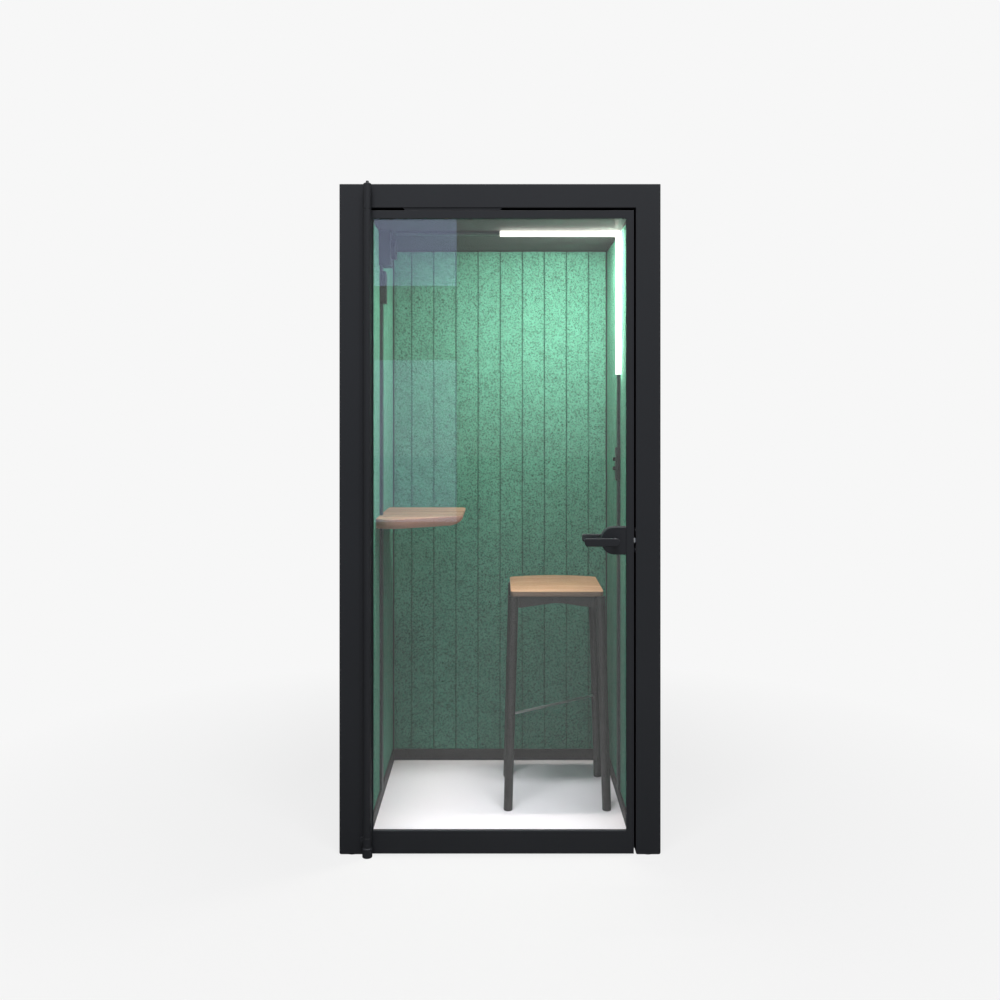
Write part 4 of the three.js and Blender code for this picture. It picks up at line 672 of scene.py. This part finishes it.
FOOT_PROFILE = (
    (12.8, 0), (14.4, 0.5), (15.3, 1.7), (15.6, 3.4), (15.6, 27.2), (15.2, 28.4), (13.2, 30.6), (12.8, 31.8), (12.8, 60.4), (12.2, 61),
)
foot_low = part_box("hinge_pivot_bottom")[0]
foot = lathe([(radius * MM, foot_low.z + rise * MM) for radius, rise in FOOT_PROFILE], hinge_axis)
lug_back = tube_high.y
LUG_THICK = 8 * MM
lug = prism([rounded([
    (foot_low.x, 34 * MM, 7 * MM),
    (hinge_axis.x, 34 * MM, 0),
    (hinge_axis.x, 59 * MM, 0),
    (foot_low.x, 59 * MM, 7 * MM),
], 8)], (lug_back - LUG_THICK, lug_back), ALONG_Y)
bottom_parts = [to_mesh("hinge_foot", foot), eased(to_mesh("hinge_lug", lug), 0.8 * MM, 3, 40)]
place_piece(
    "hinge_pivot_bottom_turned", joined("hinge_pivot_bottom_turned", bottom_parts), CHARCOAL, "cabin",
    ["hinge_pivot_bottom"],
)


# Lock: half-round plates on both sides of the pane, the outer one with the case that goes through it


SPINDLE = Vector((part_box("lever_outer")[1].x - 12.5 * MM, 0, (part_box("lever_outer")[0].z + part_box("lever_outer")[1].z) / 2))
SPINDLE_HOLE = arc((SPINDLE.x, SPINDLE.z), 8 * MM, 0, 352.5, 47)
PLATE_RADIUS = 42.7 * MM
CASE_RADIUS = 28 * MM


def half_round(radius, right, span, rounding):
    """A plate outline about the spindle, round at the left and square at the right, as a solid with eased edges."""
    outline = arc((SPINDLE.x, SPINDLE.z), radius, 90, 270, 48)
    outline += [(right, SPINDLE.z - radius), (right, SPINDLE.z + radius)]
    return eased(to_mesh("half_round", prism([outline], span, ALONG_Y)), rounding, 3, 50)


outer_plate, inner_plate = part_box("lock_plate_outer"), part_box("lock_plate_inner")
plate_back = leaf_low.y + LIP
outer_parts = [
    half_round(PLATE_RADIUS, outer_plate[1].x, (outer_plate[0].y, plate_back), 1.8 * MM),
    half_round(CASE_RADIUS, outer_plate[1].x, (plate_back + 0.01 * MM, outer_plate[1].y), 0.4 * MM),
]
spindle_span = (outer_plate[0].y - 5 * MM, inner_plate[1].y + 5 * MM)
BOLT_TRAVEL = 12.5 * MM
lock_ways = [grown(bolt_box, 0.5 * MM, BOLT_TRAVEL), to_mesh("way", prism([SPINDLE_HOLE], spindle_span, ALONG_Y))]
for name, mesh in (
    ("lock_plate_outer", joined("lock_plate_outer", outer_parts)),
    ("lock_plate_inner", half_round(PLATE_RADIUS, inner_plate[1].x, (inner_plate[0].y, inner_plate[1].y), 1.8 * MM)),
):
    place_piece(name + "_smooth", with_ways(mesh, lock_ways), CHARCOAL, "door", [name])


# Stool: saddle seat and turned legs


def seat_height(u, v):
    """Rise of the seat's top over its rim: a low crown towards the back, falling away at the front edge."""
    return 6 * MM * (1 - u * u) * (0.5 + 0.5 * v) - 2 * MM * max(0.0, -v) ** 6


seat_low, seat_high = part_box("stool_seat")
seat_mid = (seat_low + seat_high) / 2
seat_half = (seat_high.x - seat_low.x) / 2
seat_rim = seat_low.z + 19 * MM
SEAT_CORNER = 14 / 160
corner_arc = [(1 - SEAT_CORNER + x, 1 - SEAT_CORNER + y) for x, y in arc((0, 0), SEAT_CORNER, 0, 90, 8)]
side_run = [(1 - SEAT_CORNER) * (1 - k / 6) for k in range(1, 12)]
quarter = corner_arc + [(along, 1.0) for along in side_run]
seat_outline = []
for k in range(4):
    turn = Matrix.Rotation(k * math.pi / 2, 2)
    seat_outline += [tuple(turn @ Vector(point)) for point in quarter]
SEAT_STATIONS = (
    [(share / 10, 0.0) for share in range(1, 10)]
    + [(0.96, 0.0), (0.99, 0.0), (0.9963, 0.2), (0.9991, 0.8), (1.0, 1.6), (1.0, 8.0), (0.998, 14.0), (0.99, 17.0), (0.98, 18.0)]
)
rings = []
for share, drop in SEAT_STATIONS:
    places = [(u * share, v * share) for u, v in seat_outline]
    rings.append([
        (seat_mid.x + u * seat_half, seat_mid.y + v * seat_half, seat_rim + seat_height(u, v) - drop * MM)
        for u, v in places
    ])
rings.append([(seat_mid.x + (x - seat_mid.x) * 0.985, seat_mid.y + (y - seat_mid.y) * 0.985, seat_low.z) for x, y, _ in rings[-1]])
place_piece("stool_saddle_seat", to_mesh("stool_saddle_seat", loft(rings)), OAK, "cabin", ["stool_seat"], 60)

for leg in [name for name in nodes if name.startswith("stool_leg")]:
    low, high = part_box(leg)
    left, front = "left" in leg, "front" in leg
    lean_x, lean_y = (1 if left else -1), (1 if front else -1)
    foot = Vector((low.x + 15 * MM if left else high.x - 15 * MM, low.y + 15 * MM if front else high.y - 15 * MM, low.z))
    rings = []
    for share, shrink in ((0, 2.5), (0.001, 0.8), (0.003, 0), (0.25, 0), (0.5, 0), (0.75, 0), (1, 0)):
        radius = (15 + 1.5 * share - shrink) * MM
        middle = foot + Vector((lean_x * 20 * MM * share, lean_y * 20 * MM * share, (high.z - low.z) * share))
        rings.append([(middle.x + x, middle.y + y, middle.z) for x, y in arc((0, 0), radius, 0, 352.5, 47)])
    place_piece(leg + "_turned", to_mesh(leg, loft(rings)), STAINED, "cabin", [leg])


# Table top: oak board with a slanted front, a rounded nose and edges that curve in towards the underside


table_low, table_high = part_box("table_top")
wall_x, end_x, rail_y = table_low.x, table_high.x, table_high.y - 299 * MM
notch_x = wall_x + 9 * MM
wall_corner = Vector((wall_x, rail_y - 131 * MM))
nose_corner = Vector((wall_x + 51.7 * MM, rail_y - 168 * MM))
end_corner = Vector((end_x, rail_y - 21 * MM))
back_corner = Vector((end_x, table_high.y))
SLOPES = (14 * MM, 14 * MM, 40 * MM)
thickness = table_high.z - table_low.z


def crossing(first, second):
    """Where two lines, each a point and a direction, cross."""
    (start, along), (other, across) = first, second
    return start + along * ((other - start).cross(across) / along.cross(across))


def table_ring(drop, ease, share):
    """The outline at a depth under the top: free edges eased back by one length and sloped in by their own shares."""
    corners = (wall_corner, nose_corner, end_corner, back_corner)
    lines = [(Vector((wall_x, 0)), Vector((0, 1)))]
    for start, stop, depth in zip(corners, corners[1:], SLOPES):
        along = (stop - start).normalized()
        lines.append((start + along.orthogonal() * (ease + share * depth), along))
    lines.append((back_corner - Vector((0, ease)), Vector((1, 0))))
    wall, nose, end, back = [crossing(*pair) for pair in zip(lines, lines[1:])]
    plan = rounded([
        (wall_x, wall.y, 0), (nose.x, nose.y, 60 * MM), (end.x, end.y, 26 * MM), (back.x, back.y, 24 * MM),
        (wall_x, back.y, 0), (wall_x, rail_y + 20.3 * MM, 0), (notch_x, rail_y + 20.3 * MM, 0),
        (notch_x, rail_y - 20.3 * MM, 0), (wall_x, rail_y - 20.3 * MM, 0),
    ], 12)
    return [(x, y, table_high.z - drop) for x, y in plan]


TABLE_EASE = 2 * MM
rings = []
for angle in (0, 30, 60, 90):
    turn = math.radians(angle)
    rings.append(table_ring(TABLE_EASE * (1 - math.sin(turn)), TABLE_EASE * (1 - math.cos(turn)), 0.0))
rings.reverse()
for share in (0.25, 0.5, 0.7, 0.85, 0.95, 1.0):
    bulge = 1 - math.sqrt(1 - share * share * 0.94)
    rings.append(table_ring(TABLE_EASE + (thickness - TABLE_EASE) * share, 0.0, 1.32 * bulge))
place_piece("table_oak_board", to_mesh("table_oak_board", loft(rings)), TABLE_OAK, "cabin", ["table_top"], 40)


# Levers: flat bars with full edges on round necks


def lever_mesh(name, near, far, neck_end):
    low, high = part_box(name)
    spindle = high.x - 12.5 * MM
    middle = (low.z + high.z) / 2
    outline = rounded([
        (low.x, low.z, 9 * MM),
        (high.x, low.z, 12 * MM),
        (high.x, high.z, 12 * MM),
        (low.x, high.z, 6 * MM),
    ], 10)
    bar = eased(to_mesh(name, prism([outline], (near, far), ALONG_Y)), 2.6 * MM, 4, 40)
    shape = bmesh.new()
    shape.from_mesh(bar)
    neck = prism([arc((spindle, middle), 10 * MM, 0, 360 - 7.5, 47)], neck_end, ALONG_Y)
    extra = to_mesh(name + "_neck", neck)
    shape.from_mesh(extra)
    return to_mesh(name, shape)


outer_low, outer_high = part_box("lever_outer")
inner_low, inner_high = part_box("lever_inner")
outer_bar_back = outer_low.y + 12 * MM
neck_face = outer_low.y + 46.5 * MM
place_piece(
    "lever_outer_bar", lever_mesh("lever_outer", outer_low.y, outer_bar_back, (outer_bar_back - 2 * MM, neck_face)),
    CHARCOAL, "lever", ["lever_outer"], 40,
)
place_piece(
    "lever_inner_bar",
    lever_mesh("lever_inner", inner_high.y - 12 * MM, inner_high.y, (inner_low.y, inner_high.y - 10 * MM)),
    CHARCOAL, "lever", ["lever_inner"], 40,
)


# Glazing silicone: a soft black bead in the rebate behind the pane, open at the lock


glass_low, glass_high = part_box("door_glass")
BEAD = 5 * MM
GAP = 0.2 * MM
left = pane_left - REBATE + GAP
right = pane_right + REBATE - GAP
low = pane_low - REBATE + GAP
high = pane_high + REBATE - GAP
lock_low, lock_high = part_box("lock_plate_inner")
bead = prism([rounded([
    (left + BEAD, low + BEAD, 3 * MM),
    (right - BEAD, low + BEAD, 3 * MM),
    (right - BEAD, lock_low.z - GAP, 0),
    (right, lock_low.z - GAP, 0),
    (right, low, 0),
    (left, low, 0),
    (left, high, 0),
    (right, high, 0),
    (right, lock_high.z + GAP, 0),
    (right - BEAD, lock_high.z + GAP, 0),
    (right - BEAD, high - BEAD, 3 * MM),
    (left + BEAD, high - BEAD, 3 * MM),
], 6)], (glass_high.y + GAP, glass_high.y + BEAD), ALONG_Y)
place_piece("glazing_silicone", eased(to_mesh("glazing_silicone", bead), 1.6 * MM, 3, 40), RUBBER, "door")


# Screw heads, made by rule on points that carry the way they face


def screw_tree():
    """Button heads with a round socket, set on points and turned to face along each point's direction."""
    tree = bpy.data.node_groups.new("button_screws", "GeometryNodeTree")
    tree.interface.new_socket("Geometry", in_out="INPUT", socket_type="NodeSocketGeometry")
    tree.interface.new_socket("Radius", in_out="INPUT", socket_type="NodeSocketFloat")
    tree.interface.new_socket("Height", in_out="INPUT", socket_type="NodeSocketFloat")
    tree.interface.new_socket("Finish", in_out="INPUT", socket_type="NodeSocketMaterial")
    tree.interface.new_socket("Geometry", in_out="OUTPUT", socket_type="NodeSocketGeometry")
    size = add(tree, "NodeGroupInput").outputs
    base = add(tree, "GeometryNodeMeshCircle", {"Vertices": 20, "Radius": size["Radius"]}, fill_type="NGON")
    shape, top = base.outputs[0], None
    for rise, scale in ((0.55, 1.0), (0.35, 0.88), (0.1, 0.72), (0.0, 0.62), (-0.55, 0.9)):
        lift = add(tree, "ShaderNodeMath", {0: size["Height"], 1: rise}, operation="MULTIPLY")
        pulled = add(tree, "GeometryNodeExtrudeMesh", {"Mesh": shape, "Offset Scale": lift.outputs[0], "Individual": False})
        if top is not None:
            tree.links.new(top, pulled.inputs["Selection"])
        top = pulled.outputs["Top"]
        scaled = add(tree, "GeometryNodeScaleElements", {"Geometry": pulled.outputs[0], "Selection": top, "Scale": scale})
        shape = scaled.outputs[0]
    facing = add(tree, "GeometryNodeInputNamedAttribute", {"Name": "facing"}, data_type="FLOAT_VECTOR")
    turn = add(tree, "FunctionNodeAlignRotationToVector", {"Vector": facing.outputs[0]}, axis="Z")
    heads = add(tree, "GeometryNodeInstanceOnPoints", {"Points": size["Geometry"], "Instance": shape, "Rotation": turn.outputs[0]})
    whole = add(tree, "GeometryNodeRealizeInstances", {"Geometry": heads.outputs[0]})
    dressed = add(tree, "GeometryNodeSetMaterial", {"Geometry": whole.outputs[0], "Material": size["Finish"]})
    add(tree, "NodeGroupOutput", {"Geometry": dressed.outputs[0]})
    return tree


SCREWS = screw_tree()


def screws(name, body, places, radius, height, finish):
    """Screw heads at (point, facing) places."""
    points = bpy.data.meshes.new(name)
    points.from_pydata([tuple(p) for p, _ in places], [], [])
    facing = points.attributes.new("facing", "FLOAT_VECTOR", "POINT")
    facing.data.foreach_set("vector", [c for _, way in places for c in way])
    mesh = run_tree(SCREWS, {"Radius": radius, "Height": height, "Finish": finish}, points)
    shape = bmesh.new()
    shape.from_mesh(mesh)
    return place_piece(name, to_mesh(name, shape), finish, body, (), 30)


roof_low, roof_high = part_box("roof_panel")
back_panel_low, back_panel_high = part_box("back_wall_panel")
panel_screws = []
for k in range(9):
    z = 0.09 + k * 0.23
    for x in (back_panel_low.x + 0.018, back_panel_high.x - 0.018):
        panel_screws.append(((x, back_panel_high.y, z), (0, 1, 0)))
    for y in (roof_low.y + 0.018, roof_high.y - 0.018):
        panel_screws.append(((roof_low.x, y, z), (-1, 0, 0)))
        panel_screws.append(((roof_high.x, y, z), (1, 0, 0)))
for x in (-0.45, -0.15, 0.15, 0.45):
    panel_screws.append(((x, roof_high.y, roof_low.z + 0.03), (0, 1, 0)))
screws("panel_screws", "cabin", panel_screws, 5.5 * MM, 2.6 * MM, ZINC)

strike_low, strike_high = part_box("strike_plate")
strike_mid = (strike_low + strike_high) / 2
screws(
    "strike_screws", "cabin",
    [((strike_low.x, strike_mid.y, strike_mid.z + way * 0.03), (-1, 0, 0)) for way in (-1, 1)],
    3.6 * MM, 1.2 * MM, STEEL,
)


screws(
    "lug_screw", "cabin",
    [((foot_low.x + 8 * MM, lug_back - LUG_THICK, 46.5 * MM), (0, -1, 0))], 4.2 * MM, 2 * MM, CHARCOAL,
)


# Knobs: ridged grips with a pale pointer on the face


def knob_grip(name):
    low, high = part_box(name)
    middle, radius, reach = (low + high) / 2, (high.z - low.z) / 2, high.x - low.x
    rings = []
    for along, size, ridge in ((0, 0.96, 0), (0.05, 1, 1), (0.75, 0.95, 1), (0.9, 0.92, 0.5), (0.97, 0.87, 0), (1, 0.8, 0)):
        ring = []
        for k in range(72):
            turn = 2 * math.pi * k / 72
            out = radius * size * (1 - 0.06 * ridge * (k % 3 == 0))
            ring.append((high.x - reach * along, middle.y + out * math.cos(turn), middle.z + out * math.sin(turn)))
        rings.append(ring)
    return to_mesh(name, loft(rings))


def knob_pointer(name):
    low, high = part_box(name)
    middle, half = (low + high) / 2, 0.6 * MM
    line = rounded([
        (middle.y - half, middle.z + 1 * MM, 0.5 * MM),
        (middle.y + half, middle.z + 1 * MM, 0.5 * MM),
        (middle.y + half, high.z - 1.6 * MM, 0.5 * MM),
        (middle.y - half, high.z - 1.6 * MM, 0.5 * MM),
    ], 4)
    return to_mesh(name + "_pointer", prism([line], (low.x - 0.3 * MM, low.x + 0.1 * MM), ALONG_X))


for name, body in (("knob_upper", "dial_upper"), ("knob_lower", "dial_lower")):
    place_piece(name + "_grip", knob_grip(name), ABS, body, [name])
    place_piece(name + "_pointer", knob_pointer(name), MARK, body)


# Studio: pale floor and backdrop, soft lamps, the photograph's camera


BACKDROP = "#F7F7F7"


def studio_floor():
    """Pale paper: the camera sees an even pale tone, with a trace of the real shading near the object for its shadow.
    Towards the object it throws back less light than white paper would, and close in front of the pane it is mirrored
    darker."""
    made, tree, shader = new_material("studio_paper", Roughness=0.9)
    shader.inputs["Base Color"].default_value = linear("#8C8C8C")
    where = add(tree, "ShaderNodeTexCoord").outputs["Object"]
    away = add(tree, "ShaderNodeVectorMath", {0: where}, operation="LENGTH")
    even = add(tree, "ShaderNodeMapRange", {"Value": away.outputs["Value"], 1: 0.8, 2: 2.2, 3: 0.85, 4: 1.0})
    path = add(tree, "ShaderNodeLightPath")
    seen = add(tree, "ShaderNodeMath", {0: path.outputs["Is Camera Ray"], 1: path.outputs["Is Transmission Ray"]}, operation="MAXIMUM")
    across = add(tree, "ShaderNodeSeparateXYZ", {0: where})
    # Seen in the pane, the paper shows painted light towards its lit side and a painted dark band close in front:
    # painted reflection in the glass.
    lit_side = add(tree, "ShaderNodeMapRange", {"Value": across.outputs["X"], 1: -0.4, 2: 0.0, 3: 0.0, 4: 0.22})
    far = add(tree, "ShaderNodeMapRange", {"Value": across.outputs["Y"], 1: -1.35, 2: -1.0, 3: 1.0, 4: 0.5})
    lit = add(tree, "ShaderNodeMath", {0: lit_side.outputs[0], 1: far.outputs[0]}, operation="MULTIPLY")
    mirrored = add(tree, "ShaderNodeMath", {0: path.outputs["Is Glossy Ray"], 1: lit.outputs[0]}, operation="MULTIPLY")
    near = add(tree, "ShaderNodeMath", {0: 1.0, 1: far.outputs[0]}, operation="SUBTRACT")
    dimmed = add(tree, "ShaderNodeMath", {0: path.outputs["Is Glossy Ray"], 1: near.outputs[0]}, operation="MULTIPLY")
    dark = add(tree, "ShaderNodeBsdfDiffuse", {"Color": linear("#202020")})
    floor = add(tree, "ShaderNodeMixShader", {0: dimmed.outputs[0], 1: shader.outputs[0], 2: dark.outputs[0]})
    pale = add(tree, "ShaderNodeMath", {0: seen.outputs[0], 1: mirrored.outputs[0]}, operation="MAXIMUM")
    paper = add(tree, "ShaderNodeBsdfDiffuse", {"Color": linear("#E0E0E0")})
    glow = add(tree, "ShaderNodeEmission", {"Color": linear(BACKDROP)})
    shown = add(tree, "ShaderNodeMixShader", {0: even.outputs[0], 1: paper.outputs[0], 2: glow.outputs[0]})
    mixed = add(tree, "ShaderNodeMixShader", {0: pale.outputs[0], 1: floor.outputs[0], 2: shown.outputs[0]})
    tree.links.new(mixed.outputs[0], tree.nodes["Material Output"].inputs["Surface"])
    return made


ground_mesh = bpy.data.meshes.new("studio_floor")
ground_mesh.from_pydata([(-30, -30, 0), (30, -30, 0), (30, 30, 0), (-30, 30, 0)], [], [(0, 1, 2, 3)])
ground_mesh.materials.append(studio_floor())
ground = bpy.data.objects.new("studio_floor", ground_mesh)
bpy.context.scene.collection.objects.link(ground)

world = bpy.data.worlds.new("studio")
bpy.context.scene.world = world
world.use_nodes = True
sky = world.node_tree
sky.nodes.clear()
path = add(sky, "ShaderNodeLightPath")
seen = add(sky, "ShaderNodeMath", {0: path.outputs["Is Camera Ray"], 1: path.outputs["Is Transmission Ray"]}, operation="MAXIMUM")
soft = add(sky, "ShaderNodeBackground", {"Color": linear("#F4F6F8"), "Strength": 0.08})
room = add(sky, "ShaderNodeBackground", {"Color": linear("#F4F6F8"), "Strength": 0.62})
pale = add(sky, "ShaderNodeBackground", {"Color": linear(BACKDROP), "Strength": 1.0})
shiny = add(sky, "ShaderNodeMixShader", {0: path.outputs["Is Glossy Ray"], 1: soft.outputs[0], 2: room.outputs[0]})
both = add(sky, "ShaderNodeMixShader", {0: seen.outputs[0], 1: shiny.outputs[0], 2: pale.outputs[0]})
add(sky, "ShaderNodeOutputWorld", {"Surface": both.outputs[0]})


def softbox(name, place, target, size, power, tint):
    """A soft rectangular lamp that shines from a place towards a target."""
    lamp = bpy.data.lights.new(name, "AREA")
    lamp.shape = "RECTANGLE"
    lamp.size, lamp.size_y = size
    lamp.energy = power
    lamp.color = linear(tint)[:3]
    holder = bpy.data.objects.new(name, lamp)
    holder.location = place
    holder.rotation_euler = (Vector(target) - Vector(place)).to_track_quat("-Z", "Y").to_euler()
    bpy.context.scene.collection.objects.link(holder)
    return holder


softbox("key_softbox", (2.2, -4.0, 4.6), (0, 0, 1.1), (2.2, 2.2), 10, "#FFFFFF")
softbox("overhead_softbox", (0, -3.35, 9.0), (0, 0.05, 0), (4.4, 0.8), 620, "#FFFFFF")
softbox("window_softbox_low", (-0.705, -5.94, 1.139), (-0.705, 0, 1.139), (0.69, 1.342), 3.1, "#BCDBFF")
softbox("window_softbox_high", (-0.705, -5.94, 2.7025), (-0.705, 0, 2.7025), (0.69, 0.555), 1.88, "#B3C7FF")

# The two light bars' own light, given by unseen strips just clear of each cover's face and of its two sides. The side
# strips stand out further than the cover, so that the glow beside it fades slowly.
CLEAR = 0.002


def light_bar(name, facing, reach, power, front_power, back_power):
    low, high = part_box(name)
    middle, size = (low + high) / 2, high - low
    length, proud = max(size), abs(facing.dot(size))
    places = [(facing, middle + facing * (proud / 2 + CLEAR), size.y, power)]
    root = middle + facing * (reach - proud) / 2
    for way, share in ((Vector((0, -1, 0)), front_power), (Vector((0, 1, 0)), back_power)):
        places.append((way, root + way * (size.y / 2 + CLEAR), reach, share))
    for way, place, width, share in places:
        spread = (width, length) if size.z > size.x else (length, width)
        strip = softbox(name + "_strip", place, place + way, spread, share, "#FFF8EC")
        strip.visible_camera = False
        strip.visible_transmission = False
        strip.visible_glossy = False


light_bar("light_ceiling", Vector((0, 0, -1)), 0.042, 12.4, 1.9, 1.7)
light_bar("light_wall", Vector((-1, 0, 0)), 0.030, 3.2, 3.0, 1.7)

eye = bpy.data.cameras.new("photo_camera")
eye.sensor_width = 36
eye.lens = 1063.5 / 1000 * 36
eye.shift_y = -0.088
viewer = bpy.data.objects.new("photo_camera", eye)
viewer.location = (0, cad_box[0][1] + 0.047 - 3.310, 1.379)
viewer.rotation_euler = (math.pi / 2, 0, 0)
bpy.context.scene.collection.objects.link(viewer)
bpy.context.scene.camera = viewer
bpy.context.scene.view_settings.view_transform = "Standard"
